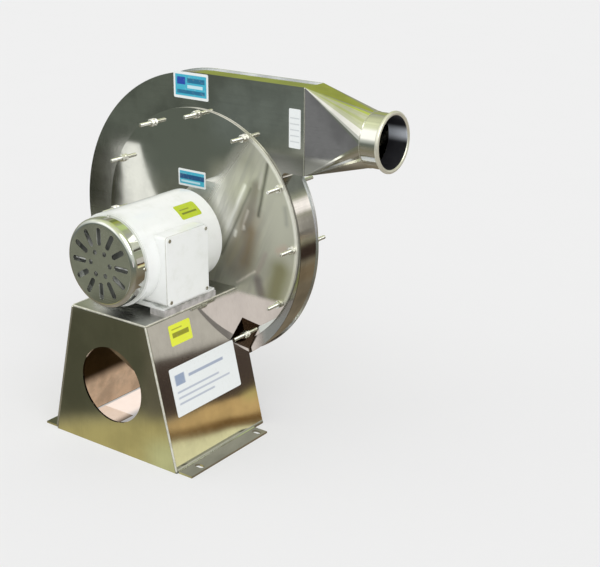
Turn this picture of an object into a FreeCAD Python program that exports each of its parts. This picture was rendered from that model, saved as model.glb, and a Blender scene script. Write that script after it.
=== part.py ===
import FreeCAD, Part
import math
import os
import re
import Sketcher

# Pressure blower in stainless plate: a narrow scroll casing bolted by studs to a round drive plate,
# a folded pedestal that carries the plate and the motor, and a closed wheel on the motor's own shaft.
# Millimetres. X points to the outlet, Y to the inlet, Z up. The origin lies on the floor at the centre
# of the four anchor slots, which is also the middle of the pedestal.

SIZES = {
    # pedestal
    "pedestal_height": 353, "pedestal_base_width": 402, "pedestal_length": 332, "pedestal_plate": 5,
    "pad_ledge": 0.25, "corner_rounding": 4, "fold_radius": 6, "base_flange": 42,
    "flange_setback": 38, "window_radius": 96, "window_height": 174,
    "notch_depth": 62, "notch_half_height": 40, "notch_rise": 4,
    "anchor_shift": 2, "anchor_inset": 56, "anchor_slot_length": 24, "anchor_slot_width": 14,
    # motor frame, with the standard foot and shaft sizes of its frame number
    "pad_thickness": 16, "pad_width": 46, "foot_rise": 1.8, "foot_bolt_spacing_x": 190.5,
    "foot_bolt_spacing_y": 139.7, "shaft_shoulder_to_foot_bolt": 69.85, "foot_side_margin": 18.75,
    "foot_end_margin": 22.15, "foot_plate": 5, "foot_ramp": 30, "saddle_height": 11.3,
    "saddle_inner": 20, "saddle_outer": 70,
    "foot_hole_radius": 5.2, "foot_bolt_radius": 4.75, "foot_bolt_across": 16, "foot_bolt_head": 6.4,
    "thread_overrun": 3,
    "barrel_radius": 112.5, "barrel_wall": 3.5, "barrel_length": 238, "bell_depth": 25,
    "bell_gap_to_plate": 33, "spigot_length": 8, "bell_wall": 6, "bell_chamfer": 12, "bell_dome": 40,
    "fan_cover_step": 5.5, "fan_cover_sheet": 1.5, "fan_cover_depth": 41, "fan_cover_rounding": 12,
    "rear_bell_depth": 23,
    "vent_count": 12, "vent_margin": 20, "vent_length": 42, "vent_width": 13, "hub_vent_count": 6,
    "hub_vent_gap": 9, "hub_vent_radius": 6,
    "shaft_radius": 14.288, "shaft_reach": 69.85, "shaft_core_radius": 22, "fan_seat_radius": 10,
    "shaft_step": 0.712, "front_bearing_height": 16, "front_bearing_width": 16,
    "rear_seat_radius": 12.5, "rear_bearing_height": 13.5, "rear_bearing_width": 15, "ring_height": 4.5,
    "core_length": 120, "air_gap": 0.6, "winding_length": 24, "winding_gap": 10,
    "winding_depth": 16, "winding_step": 4,
    "fan_edge_gap": 21, "fan_hub_radius": 22, "fan_blade_count": 8, "fan_sheet": 3, "fan_tip_gap": 6,
    "tie_inset": 16.5, "tie_radius": 3, "tie_across": 10, "tie_head": 4, "tie_seat_depth": 7,
    "tie_seat_radius": 7, "cover_screw_radius": 2, "cover_screw_head": 4, "cover_screw_height": 2,
    # conduit box on the side of the motor
    "box_length": 145, "box_centre": -29.5, "box_foot_gap": 3, "box_above_axis": 67,
    "box_stand": 20.5, "box_wall": 3, "box_rounding": 8, "box_gasket": 1.5, "lid_thickness": 3,
    "lid_screw_inset": 9, "lid_screw_radius": 2.4, "lid_screw_head": 4.5, "lid_screw_height": 2.5,
    "lid_screw_length": 18, "lug_radius": 7, "lug_floor": 6, "plug_radius": 11, "plug_head": 15,
    "plug_height": 2,
    # casing
    "plate_radius": 304.8, "plate_thickness": 4, "gasket_thickness": 2, "casing_width": 76,
    "side_sheet": 3, "wrapper_sheet": 3, "sheet_lip": 3, "gasket_band": 32.8, "opening_margin": 10,
    "scroll_margin": 86.2, "scroll_step_x": 33, "scroll_step_z": 15, "duct_height": 207,
    "duct_overrun": 8, "cutoff_rounding": 10,
    "stud_count": 12, "stud_inset": 14.3, "stud_radius": 5, "stud_reach": 46, "stud_hole": 5.5,
    "nut_across": 17, "nut_height": 8, "washer_radius": 10, "washer_thickness": 2,
    # outlet
    "transition_length": 166, "transition_sheet": 3, "bends_per_corner": 12, "outlet_radius": 63.5,
    "outlet_wall": 3, "outlet_length": 52, "bead_radius": 5,
    # inlet
    "inlet_radius": 76.2, "inlet_wall": 3, "inlet_length": 104, "cone_flange": 20, "cone_sheet": 3,
    "throat_step": 8.2, "throat_overlap": 5, "throat_gap": 4,
    # wheel
    "wheel_margin": 8, "wheel_gap": 10, "back_sheet": 4, "shroud_sheet": 3, "tip_width": 22,
    "eye_gap": 9, "eye_lip": 6, "blade_count": 12, "blade_sheet": 3,
    "blade_inset": 25, "blade_setback": 3, "blade_sweep": 32, "blade_curve": 230,
    "hub_radius": 34, "hub_gap": 4, "hub_flange_width": 28, "hub_flange": 6, "hub_overrun": 3,
    "rivet_count": 6, "rivet_radius": 3, "rivet_head": 5.5, "rivet_head_height": 2,
    "key_width": 6.35, "key_length": 26, "key_depth": 3.2, "end_washer_radius": 22,
    "end_washer": 4, "end_screw_radius": 5, "end_screw_length": 22, "end_screw_across": 17,
    "end_screw_head": 7,
    # shaft seal in the drive plate
    "seal_width": 11.712, "seal_lip_height": 8, "seal_lip_thickness": 1, "retainer_gap": 2.2,
    "retainer_screw_inset": 9, "retainer_thickness": 3, "retainer_screw_count": 4,
    "retainer_screw_radius": 2.4, "retainer_screw_head": 4.2, "retainer_screw_height": 2.6,
    # fits
    "seat_gap": 0.05, "running_gap": 0.05,
}

# Places and sizes worked out from the driving sizes, each from the ones above it.
PLACES = {
    "shaft_height": "barrel_radius + foot_rise",
    "box_below_axis": "shaft_height - saddle_height - box_foot_gap",
    "pedestal_top_width": "foot_bolt_spacing_x + pad_width + 2 * pad_ledge",
    "face_y": "pedestal_length / 2",
    "axis_z": "pedestal_height + pad_thickness + shaft_height",
    "side_slope": "(pedestal_base_width - pedestal_top_width) / 2 / pedestal_height",
    "side_across": "pedestal_plate * sqrt(1 + side_slope ^ 2)",
    "anchor_spacing_x": "pedestal_base_width + base_flange + 2 * anchor_shift",
    "anchor_spacing_y": "pedestal_length - 2 * anchor_inset",
    "stud_circle": "plate_radius - stud_inset",
    "stud_z": "axis_z - stud_circle * sin(60)",
    "gasket_inner": "plate_radius - gasket_band",
    "opening_radius": "gasket_inner - opening_margin",
    "scroll_radius": "plate_radius + scroll_margin",
    "duct_floor": "scroll_radius - duct_height",
    "duct_end": "scroll_radius - 2 * scroll_step_x - scroll_step_z + duct_overrun",
    "transition_end": "duct_end + transition_length",
    "gasket_y": "face_y + plate_thickness",
    "casing_y": "gasket_y + gasket_thickness",
    "casing_far_y": "casing_y + casing_width",
    "inlet_plate_y": "casing_far_y + gasket_thickness",
    "inlet_face_y": "inlet_plate_y + plate_thickness",
    "casing_middle_y": "casing_y + casing_width / 2",
    "outlet_rise": "scroll_radius - duct_height / 2",
    "outlet_end": "transition_end + outlet_length",
    "foot_width": "foot_bolt_spacing_x + 2 * foot_side_margin",
    "foot_length": "foot_bolt_spacing_y + 2 * foot_end_margin",
    "bell_face_y": "face_y - bell_gap_to_plate",
    "barrel_y": "bell_face_y - bell_depth",
    "barrel_rear_y": "barrel_y - barrel_length",
    "rear_bell_y": "barrel_rear_y - rear_bell_depth",
    "barrel_inner": "barrel_radius - barrel_wall",
    "spigot_radius": "barrel_inner - seat_gap",
    "tie_circle": "barrel_radius - tie_inset",
    "winding_radius": "tie_circle - winding_gap",
    "core_bore": "winding_radius - winding_depth - winding_step",
    "fan_cover_radius": "barrel_radius - fan_cover_step",
    "fan_radius": "fan_cover_radius - fan_edge_gap",
    "vent_outer": "fan_cover_radius - vent_margin",
    "hub_vent_circle": "vent_outer - vent_length - hub_vent_gap - hub_vent_radius",
    "cover_seat_radius": "fan_cover_radius - fan_cover_sheet - seat_gap",
    "cover_seat_y": "rear_bell_y + rear_bell_depth / 2",
    "fan_cover_y": "cover_seat_y - fan_cover_depth",
    "front_foot_bolt_y": "bell_face_y - shaft_shoulder_to_foot_bolt",
    "foot_middle_y": "front_foot_bolt_y - foot_bolt_spacing_y / 2",
    "core_y": "(barrel_y + barrel_rear_y - core_length) / 2",
    "front_seat_radius": "shaft_radius + shaft_step",
    "front_bearing_radius": "front_seat_radius + front_bearing_height",
    "rear_bearing_radius": "rear_seat_radius + rear_bearing_height",
    "front_bearing_y": "bell_face_y - bell_wall - front_bearing_width",
    "rear_bearing_y": "rear_bell_y + bell_wall / 2",
    "shaft_rear_y": "fan_cover_y + fan_cover_sheet + fan_tip_gap",
    "shaft_end_y": "bell_face_y + shaft_reach",
    "tie_seat_y": "bell_face_y - tie_seat_depth",
    "box_reach": "barrel_radius + box_stand",
    "lid_x": "box_reach - lid_thickness",
    "gasket_x": "lid_x - box_gasket",
    "wheel_radius": "opening_radius - wheel_margin",
    "wheel_back_y": "gasket_y + wheel_gap",
    "wheel_face_y": "wheel_back_y + back_sheet",
    "hub_y": "gasket_y + hub_gap",
    "hub_end_y": "shaft_end_y + hub_overrun",
    "hub_flange_radius": "hub_radius + hub_flange_width",
    "rivet_circle": "(hub_radius + hub_flange_radius) / 2",
    "throat_radius": "inlet_radius - throat_step",
    "eye_radius": "throat_radius + cone_sheet + throat_gap",
    "eye_outer": "eye_radius + shroud_sheet",
    "eye_end_y": "inlet_plate_y - eye_gap",
    "eye_y": "eye_end_y - eye_lip - shroud_sheet",
    "tip_y": "wheel_face_y + tip_width",
    "shroud_slope": "(eye_y - tip_y) / (wheel_radius - eye_outer)",
    "blade_inner": "eye_radius + blade_inset",
    "blade_outer": "wheel_radius - blade_setback",
    "seal_radius": "shaft_radius + seal_width",
    "seal_lip": "seal_radius - seal_lip_height",
    "retainer_bore": "shaft_radius + retainer_gap",
    "retainer_screw_circle": "seal_radius + retainer_screw_inset",
    "retainer_radius": "retainer_screw_circle + retainer_screw_inset",
}

doc = FreeCAD.newDocument("pressure_blower")
pieces = []


def make_sheet(name, cells):
    """Spreadsheet with one row for each word: the word, and its number or formula under that alias."""
    sheet = doc.addObject("Spreadsheet::Sheet", name)
    for row, (word, content) in enumerate(cells.items(), start=1):
        sheet.set("A%d" % row, word)
        sheet.set("B%d" % row, str(content))
        sheet.setAlias("B%d" % row, word)
    return sheet


def linked(formula):
    """The formula with each of its words pointed at the cell that holds it."""
    def cell(match):
        word = match.group()
        if word in SIZES:
            return "Sizes." + word
        return "Places." + word if word in PLACES else word
    return re.sub(r"[a-z][a-z0-9_]*", cell, formula)


sizes = make_sheet("Sizes", SIZES)
doc.recompute()
make_sheet("Places", {word: "=" + linked(formula) for word, formula in PLACES.items()})
doc.recompute()


def value(formula):
    return float(sizes.evalExpression(linked(formula)))


def bind(thing, setting, formula):
    thing.setExpression(setting, linked(formula))


# Building blocks

def new_piece(name, x="0", y="0", z="axis_z"):
    """Body whose own origin lies at the given place, by default on the shaft's axis."""
    piece = doc.addObject("PartDesign::Body", name)
    piece.Label = name
    for letter, formula in zip("xyz", (x, y, z)):
        bind(piece, "Placement.Base." + letter, formula)
    pieces.append(piece)
    return piece


def origin_part(piece, role):
    return next(part for part in piece.Origin.OriginFeatures if part.Role == role)


def new_sketch(piece, plane, level="0"):
    """Sketch on an origin plane, moved to a level along +X (YZ), +Y (XZ) or +Z (XY)."""
    sketch = piece.newObject("Sketcher::SketchObject", piece.Name + "_outline")
    sketch.AttachmentSupport = [(origin_part(piece, plane + "_Plane"), "")]
    sketch.MapMode = "FlatFace"
    side = "-1" if plane == "XZ" else "1"
    bind(sketch, "AttachmentOffset.Base.z", "%s * (%s)" % (side, level))
    return sketch


def fix_length(sketch, kind, *geometry, size):
    """Dimension in a sketch, bound to its formula."""
    index = sketch.addConstraint(Sketcher.Constraint(kind, *geometry, value(size)))
    bind(sketch, "Constraints[%d]" % index, size)


def fix_point(sketch, line, end, across, up):
    fix_length(sketch, "DistanceX", -1, 1, line, end, size=across)
    fix_length(sketch, "DistanceY", -1, 1, line, end, size=up)


def spot(across, up):
    return FreeCAD.Vector(value(across), value(up), 0)


def polygon(sketch, corners):
    """Closed outline through corners, each a pair of formulas."""
    spots = [spot(*corner) for corner in corners]
    first = sketch.GeometryCount
    for start, end in zip(spots, spots[1:] + spots[:1]):
        sketch.addGeometry(Part.LineSegment(start, end), False)
    count = len(corners)
    for number, corner in enumerate(corners):
        following = first + (number + 1) % count
        sketch.addConstraint(Sketcher.Constraint("Coincident", first + number, 2, following, 1))
        fix_point(sketch, first + number, 1, *corner)


def rectangle(sketch, left, right, bottom, top):
    polygon(sketch, [(left, bottom), (right, bottom), (right, top), (left, top)])


def circle(sketch, across, up, radius):
    round_line = Part.Circle(spot(across, up), FreeCAD.Vector(0, 0, 1), value(radius))
    index = sketch.addGeometry(round_line, False)
    fix_point(sketch, index, 3, across, up)
    fix_length(sketch, "Radius", index, size=radius)


def hexagon(sketch, across, up, width):
    corner = "(%s) / 2 / cos(30)" % width
    polygon(sketch, [("%s + %s * cos(%d)" % (across, corner, turn), "%s + %s * sin(%d)" % (up, corner, turn))
                     for turn in range(0, 360, 60)])


def slot(sketch, across, up, length, width):
    """Slot along the sketch's first axis, centred on a place."""
    half = "((%s) - (%s)) / 2" % (length, width)
    centres = ["%s - %s" % (across, half), "%s + %s" % (across, half)]
    radius = "(%s) / 2" % width
    normal = FreeCAD.Vector(0, 0, 1)
    ends = []
    for centre, start in zip(centres, (math.pi / 2, -math.pi / 2)):
        arc = Part.ArcOfCircle(Part.Circle(spot(centre, up), normal, value(radius)), start, start + math.pi)
        ends.append(sketch.addGeometry(arc, False))
        fix_point(sketch, ends[-1], 3, centre, up)
    left, right = (sketch.Geometry[end] for end in ends)
    floor = sketch.addGeometry(Part.LineSegment(left.EndPoint, right.StartPoint), False)
    roof = sketch.addGeometry(Part.LineSegment(right.EndPoint, left.StartPoint), False)
    joins = [(ends[0], 2, floor, 1), (floor, 2, ends[1], 1), (ends[1], 2, roof, 1), (roof, 2, ends[0], 1)]
    for join in joins:
        sketch.addConstraint(Sketcher.Constraint("Tangent", *join))
    fix_length(sketch, "Radius", ends[0], size=radius)
    sketch.addConstraint(Sketcher.Constraint("Equal", *ends))


def sheet_scroll(sketch, inset, reach):
    """Casing outline: three tangent arcs about stepped centres, the cutoff, and the duct to reach."""
    outer = "scroll_radius - (%s)" % inset
    floor = "duct_floor + (%s)" % inset
    normal = FreeCAD.Vector(0, 0, 1)
    step_x, step_z, radius = value("scroll_step_x"), value("scroll_step_z"), value(outer)
    centres = [(0, 0), (-step_x, 0), (-step_x, -step_z)]
    radii = [radius, radius - step_x, radius - step_x - step_z]
    cutoff = math.asin((value(floor) + step_z) / radii[2])
    turns = [math.pi / 2, math.pi, 1.5 * math.pi, 2 * math.pi + cutoff]
    roof = sketch.addGeometry(Part.LineSegment(spot(reach, outer), spot("0", outer)), False)
    arcs = []
    for number, (centre, bend) in enumerate(zip(centres, radii)):
        round_line = Part.Circle(FreeCAD.Vector(*centre, 0), normal, bend)
        arcs.append(sketch.addGeometry(Part.ArcOfCircle(round_line, turns[number], turns[number + 1]), False))
    nose = sketch.Geometry[arcs[2]].EndPoint
    duct = sketch.addGeometry(Part.LineSegment(nose, spot(reach, floor)), False)
    mouth = sketch.addGeometry(Part.LineSegment(spot(reach, floor), spot(reach, outer)), False)
    chain = [roof, *arcs, duct, mouth]
    for line, following in zip(chain, chain[1:] + chain[:1]):
        sketch.addConstraint(Sketcher.Constraint("Coincident", line, 2, following, 1))
    sketch.addConstraint(Sketcher.Constraint("Coincident", arcs[0], 3, -1, 1))
    sketch.addConstraint(Sketcher.Constraint("PointOnObject", arcs[0], 1, -2))
    sketch.addConstraint(Sketcher.Constraint("PointOnObject", arcs[0], 2, -1))
    sketch.addConstraint(Sketcher.Constraint("PointOnObject", arcs[1], 3, -1))
    sketch.addConstraint(Sketcher.Constraint("Vertical", arcs[1], 2, arcs[1], 3))
    sketch.addConstraint(Sketcher.Constraint("Horizontal", roof))
    sketch.addConstraint(Sketcher.Constraint("Horizontal", duct))
    sketch.addConstraint(Sketcher.Constraint("Vertical", mouth))
    fix_length(sketch, "Radius", arcs[0], size=outer)
    fix_length(sketch, "DistanceX", -1, 1, arcs[1], 3, size="-scroll_step_x")
    fix_point(sketch, arcs[2], 3, "-scroll_step_x", "-scroll_step_z")
    fix_length(sketch, "DistanceY", -1, 1, duct, 1, size=floor)
    fix_length(sketch, "DistanceX", -1, 1, mouth, 1, size=reach)


def extrude(piece, plane, draw, start, end, cut=False):
    """Material, or a cut, from level start to level end along the plane's positive direction."""
    sketch = new_sketch(piece, plane, start)
    draw(sketch)
    before = piece.Shape.Volume if cut else 0
    feature = piece.newObject("PartDesign::" + ("Pocket" if cut else "Pad"), piece.Name + "_feature")
    feature.Profile = sketch
    bind(feature, "Length", "(%s) - (%s)" % (end, start))
    feature.Reversed = (plane == "XZ") != cut
    doc.recompute()
    if cut and not piece.Shape.Volume < before:
        raise RuntimeError("a cut in %s removes nothing" % piece.Label)
    return feature


def turn(piece, draw, plane="YZ", cut=False):
    """Revolve about the sketch's first axis: the shaft's axis for YZ, the outlet's for XZ."""
    sketch = new_sketch(piece, plane)
    draw(sketch)
    feature = piece.newObject("PartDesign::" + ("Groove" if cut else "Revolution"), piece.Name + "_turned")
    feature.Profile = sketch
    feature.ReferenceAxis = (sketch, ["H_Axis"])
    feature.Angle = 360
    doc.recompute()
    return feature


def repeat(piece, features, count, axis="Y_Axis"):
    """Copies of features about one of the piece's own axes."""
    pattern = piece.newObject("PartDesign::PolarPattern", piece.Name + "_pattern")
    pattern.Originals = features
    pattern.Axis = (origin_part(piece, axis), [""])
    pattern.Angle = 360
    bind(pattern, "Occurrences", count)
    piece.Tip = pattern
    doc.recompute()
    return pattern


def round_edges(piece, radius, chosen):
    """Fillet on the edges of the piece's last feature that the test picks by their middle."""
    base = piece.Tip
    names = ["Edge%d" % (number + 1) for number, edge in enumerate(base.Shape.Edges)
             if chosen(edge, edge.valueAt((edge.FirstParameter + edge.LastParameter) / 2))]
    fillet = piece.newObject("PartDesign::Fillet", piece.Name + "_rounding")
    fillet.Base = (base, names)
    bind(fillet, "Radius", radius)
    piece.Tip = fillet
    doc.recompute()


def runs_along(edge, axis):
    """True for a straight edge that keeps to one of the directions x, y or z."""
    if edge.Curve.TypeId != "Part::GeomLine":
        return False
    return abs(abs(getattr(edge.tangentAt(edge.FirstParameter), axis)) - 1) < 1e-6


def near(place, formula):
    return abs(place - value(formula)) < 0.01


def ring(piece, near_y, far_y, inner, outer):
    """Plain turned ring between two levels along the shaft."""
    return turn(piece, lambda sketch: rectangle(sketch, near_y, far_y, inner, outer))


# Pedestal

def half_width(height):
    """Half the pedestal's outside width at a height above the floor."""
    return "(pedestal_top_width / 2 + side_slope * (pedestal_height - (%s)))" % height


ROOF = "pedestal_height - pedestal_plate"
REAR = "-face_y"
FOOT_BOLTS_X = ("-foot_bolt_spacing_x / 2", "foot_bolt_spacing_x / 2")
FOOT_BOLTS_Y = ("front_foot_bolt_y - foot_bolt_spacing_y", "front_foot_bolt_y")


def foot_bolt_circles(radius, columns=FOOT_BOLTS_X):
    def draw(sketch):
        for x in columns:
            for y in FOOT_BOLTS_Y:
                circle(sketch, x, y, radius)
    return draw


def pedestal_rear_plate():
    piece = new_piece("pedestal_rear_plate", z="0")
    base, top = half_width("0"), half_width(ROOF)
    corners = [("-" + base, "0"), (base, "0"), (top, ROOF), ("-" + top, ROOF)]
    extrude(piece, "XZ", lambda sketch: polygon(sketch, corners), REAR, REAR + " + pedestal_plate")
    window = (lambda sketch: circle(sketch, "0", "window_height", "window_radius"))
    extrude(piece, "XZ", window, REAR, REAR + " + pedestal_plate", cut=True)
    round_edges(piece, "corner_rounding", lambda edge, middle: edge.Curve.TypeId == "Part::GeomLine"
                and near(middle.y, REAR) and near(middle.z, "(%s) / 2" % ROOF))


def pedestal_top_plate():
    piece = new_piece("pedestal_top_plate", z="0")
    top = half_width("pedestal_height")
    outline = (lambda sketch: rectangle(sketch, "-" + top, top, REAR, "face_y"))
    extrude(piece, "XY", outline, ROOF, "pedestal_height")
    extrude(piece, "XY", foot_bolt_circles("foot_hole_radius"), ROOF, "pedestal_height", cut=True)
    round_edges(piece, "corner_rounding", lambda edge, middle: near(middle.z, "pedestal_height")
                and (runs_along(edge, "y") or runs_along(edge, "x") and near(middle.y, REAR)))


def pedestal_side(name, side):
    """Sloped side plate with its base flange folded outwards and a notch that clears a stud."""
    piece = new_piece(name, z="0")
    base, top = half_width("0"), half_width(ROOF)
    fold, edge = half_width("pedestal_plate"), base + " + base_flange"
    profile = [(top, ROOF), (fold, "pedestal_plate"), (edge, "pedestal_plate"), (edge, "0"),
               (base + " - side_across", "0"), (top + " - side_across", ROOF)]
    corners = [("%d * (%s)" % (side, x), z) for x, z in profile]
    start = REAR + " + pedestal_plate"
    extrude(piece, "XZ", lambda sketch: polygon(sketch, corners), start, "face_y")
    inner, outer = ("%d * (%s)" % (side, x) for x in (base, edge + " + 1"))
    setback = (lambda sketch: rectangle(sketch, inner, outer, "face_y - flange_setback", "face_y + 1"))
    extrude(piece, "XY", setback, "0", "pedestal_plate + fold_radius", cut=True)
    level = "stud_z + notch_rise"
    notch = [("face_y", level + " + notch_half_height"), ("face_y", level + " - notch_half_height"),
             ("face_y - notch_depth", level)]
    first, last = ("0", edge) if side > 0 else ("-1 * (%s)" % edge, "0")
    extrude(piece, "YZ", lambda sketch: polygon(sketch, notch), first, last, cut=True)

    def anchor_slots(sketch):
        for end in ("-", ""):
            slot(sketch, "%d * anchor_spacing_x / 2" % side, end + "anchor_spacing_y / 2",
                 "anchor_slot_length", "anchor_slot_width")
    extrude(piece, "XY", anchor_slots, "0", "pedestal_plate", cut=True)
    inside_fold = (lambda edge, middle: runs_along(edge, "y") and near(middle.z, "pedestal_plate")
                   and near(abs(middle.x), fold))
    round_edges(piece, "fold_radius", inside_fold)
    outside_fold = (lambda edge, middle: runs_along(edge, "y") and near(middle.z, "0")
                    and near(abs(middle.x), base + " - side_across"))
    round_edges(piece, "fold_radius + pedestal_plate", outside_fold)


# Motor mounting

def motor_pad(name, column):
    """Flat bar between the pedestal's top and a motor foot."""
    piece = new_piece(name, z="pedestal_height")
    half = "pad_width / 2"
    outline = (lambda sketch: rectangle(sketch, "%s - %s" % (column, half), "%s + %s" % (column, half),
                                        "foot_middle_y - foot_length / 2", "foot_middle_y + foot_length / 2"))
    extrude(piece, "XY", outline, "0", "pad_thickness")
    extrude(piece, "XY", foot_bolt_circles("foot_hole_radius", [column]), "0", "pad_thickness", cut=True)


def motor_foot(name, side, column):
    """Foot plate that rises to a saddle under the barrel."""
    piece = new_piece(name)
    base = "-shaft_height"
    deck, saddle = base + " + foot_plate", base + " + saddle_height"
    profile = [("foot_width / 2", base), ("foot_width / 2", deck), ("foot_width / 2 - foot_ramp", deck),
               ("saddle_outer", saddle), ("saddle_inner", saddle), ("saddle_inner", base)]
    corners = [("%d * (%s)" % (side, x), z) for x, z in profile]
    rear, front = "foot_middle_y - foot_length / 2", "foot_middle_y + foot_length / 2"
    extrude(piece, "XZ", lambda sketch: polygon(sketch, corners), rear, front)
    barrel = (lambda sketch: circle(sketch, "0", "0", "barrel_radius + seat_gap"))
    extrude(piece, "XZ", barrel, rear + " - 1", front + " + 1", cut=True)
    extrude(piece, "XY", foot_bolt_circles("foot_hole_radius", [column]), base + " - 1", deck + " + 1",
            cut=True)


def motor_bolts():
    piece = new_piece("motor_bolts", z="axis_z - shaft_height + foot_plate")

    def heads(sketch):
        for x in FOOT_BOLTS_X:
            for y in FOOT_BOLTS_Y:
                hexagon(sketch, x, y, "foot_bolt_across")
    extrude(piece, "XY", heads, "0", "foot_bolt_head")
    grip = "foot_plate + pad_thickness + pedestal_plate + foot_bolt_head + thread_overrun"
    extrude(piece, "XY", foot_bolt_circles("foot_bolt_radius"), "-(%s)" % grip, "0")


def motor_nuts():
    piece = new_piece("motor_nuts", z=ROOF)

    def nuts(sketch):
        for x in FOOT_BOLTS_X:
            for y in FOOT_BOLTS_Y:
                hexagon(sketch, x, y, "foot_bolt_across")
                circle(sketch, x, y, "foot_bolt_radius + seat_gap")
    extrude(piece, "XY", nuts, "-foot_bolt_head", "0")


# Motor

def motor_barrel():
    ring(new_piece("motor_barrel"), "barrel_rear_y", "barrel_y", "barrel_inner", "barrel_radius")


def tie_bolt_holes(piece, radius, start, end):
    hole = extrude(piece, "XZ", lambda sketch: circle(sketch, "tie_circle * cos(45)",
                   "tie_circle * sin(45)", radius), start, end, cut=True)
    repeat(piece, [hole], "4")


def front_end_bell():
    piece = new_piece("front_end_bell")
    seat = "front_bearing_radius + seat_gap"
    lip = "bell_face_y - bell_wall"
    profile = [("barrel_y - spigot_length", "spigot_radius"), ("barrel_y", "spigot_radius"),
               ("barrel_y", "barrel_radius"), ("bell_face_y - 13", "barrel_radius"),
               ("bell_face_y - 5", "barrel_radius - bell_chamfer"),
               ("bell_face_y", "barrel_radius - bell_dome"),
               ("bell_face_y", "front_seat_radius + 2"), (lip, "front_seat_radius + 2"), (lip, seat),
               ("front_bearing_y - 2", seat), ("front_bearing_y - 2", "front_bearing_radius + 9"),
               ("bell_face_y - 11", "front_bearing_radius + 12"), ("bell_face_y - 12", "tie_circle - 6"),
               ("bell_face_y - 19", "spigot_radius - bell_wall"),
               ("barrel_y - spigot_length", "spigot_radius - bell_wall")]
    turn(piece, lambda sketch: polygon(sketch, profile))
    seats = extrude(piece, "XZ", lambda sketch: circle(sketch, "tie_circle * cos(45)",
                    "tie_circle * sin(45)", "tie_seat_radius"), "tie_seat_y", "bell_face_y + 1", cut=True)
    repeat(piece, [seats], "4")
    tie_bolt_holes(piece, "tie_radius + seat_gap", "barrel_y", "bell_face_y")


def rear_end_bell():
    piece = new_piece("rear_end_bell")
    seat = "rear_bearing_radius + seat_gap"
    lip = "rear_bearing_y"
    web = "rear_bell_y + bell_wall"
    profile = [("barrel_rear_y + spigot_length", "spigot_radius"), ("barrel_rear_y", "spigot_radius"),
               ("barrel_rear_y", "barrel_radius"), ("cover_seat_y", "barrel_radius"),
               ("cover_seat_y", "cover_seat_radius"), ("rear_bell_y", "cover_seat_radius"),
               ("rear_bell_y", "rear_seat_radius + 2"), (lip, "rear_seat_radius + 2"), (lip, seat),
               (lip + " + rear_bearing_width + 2", seat),
               (lip + " + rear_bearing_width + 2", "rear_bearing_radius + 8"),
               (web, "rear_bearing_radius + 12"), (web, "tie_circle + 3"),
               ("cover_seat_y + 3", "spigot_radius - bell_wall"),
               ("barrel_rear_y + spigot_length", "spigot_radius - bell_wall")]
    turn(piece, lambda sketch: polygon(sketch, profile))
    tie_bolt_holes(piece, "tie_radius + seat_gap", "rear_bell_y", web)
    cover_screw_holes(piece, "cover_seat_radius - 8", "cover_seat_radius + 1")


def tie_bolts():
    """Four long bolts that clamp the two end bells on the barrel."""
    piece = new_piece("tie_bolts")
    across, up = "tie_circle * cos(45)", "tie_circle * sin(45)"
    head = extrude(piece, "XZ", lambda sketch: hexagon(sketch, across, up, "tie_across"),
                   "tie_seat_y", "tie_seat_y + tie_head")
    shank = extrude(piece, "XZ", lambda sketch: circle(sketch, across, up, "tie_radius"),
                    "rear_bell_y - tie_head", "tie_seat_y")
    repeat(piece, [head, shank], "4")


def tie_bolt_nuts():
    piece = new_piece("tie_bolt_nuts")

    def nut(sketch):
        hexagon(sketch, "tie_circle * cos(45)", "tie_circle * sin(45)", "tie_across")
        circle(sketch, "tie_circle * cos(45)", "tie_circle * sin(45)", "tie_radius + seat_gap")
    repeat(piece, [extrude(piece, "XZ", nut, "rear_bell_y - tie_head", "rear_bell_y")], "4")


def stator_core():
    piece = new_piece("stator_core")
    ring(piece, "core_y", "core_y + core_length", "core_bore", "spigot_radius")
    tie_bolt_holes(piece, "tie_radius + seat_gap", "core_y", "core_y + core_length")


def stator_windings():
    piece = new_piece("stator_windings")

    def coils(sketch):
        for near_y, far_y in (("core_y - winding_length", "core_y"),
                              ("core_y + core_length", "core_y + core_length + winding_length")):
            rectangle(sketch, near_y, far_y, "core_bore + winding_step", "winding_radius")
    turn(piece, coils)


def rotor_core():
    ring(new_piece("rotor_core"), "core_y", "core_y + core_length", "shaft_core_radius + seat_gap",
         "core_bore - air_gap")


def motor_shaft():
    piece = new_piece("motor_shaft")
    steps = [("shaft_rear_y", "fan_seat_radius"), ("rear_bell_y", "rear_seat_radius"),
             ("rear_bearing_y + rear_bearing_width", "shaft_core_radius"),
             ("front_bearing_y", "front_seat_radius"), ("bell_face_y", "shaft_radius")]
    profile = [("shaft_rear_y", "0")]
    ends = [place for place, radius in steps[1:]] + ["shaft_end_y"]
    for (start, radius), end in zip(steps, ends):
        profile += [(start, radius), (end, radius)]
    profile.append(("shaft_end_y", "0"))
    turn(piece, lambda sketch: polygon(sketch, profile))
    half = "key_width / 2 + seat_gap / 2"
    seat = (lambda sketch: rectangle(sketch, "-(%s)" % half, half, "shaft_radius - key_depth",
                                     "shaft_radius + 5"))
    extrude(piece, "XZ", seat, "hub_y", "shaft_end_y + 1", cut=True)
    thread = (lambda sketch: circle(sketch, "0", "0", "end_screw_radius + seat_gap"))
    extrude(piece, "XZ", thread, "hub_end_y + end_washer - end_screw_length - 1", "shaft_end_y + 1", cut=True)


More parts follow.
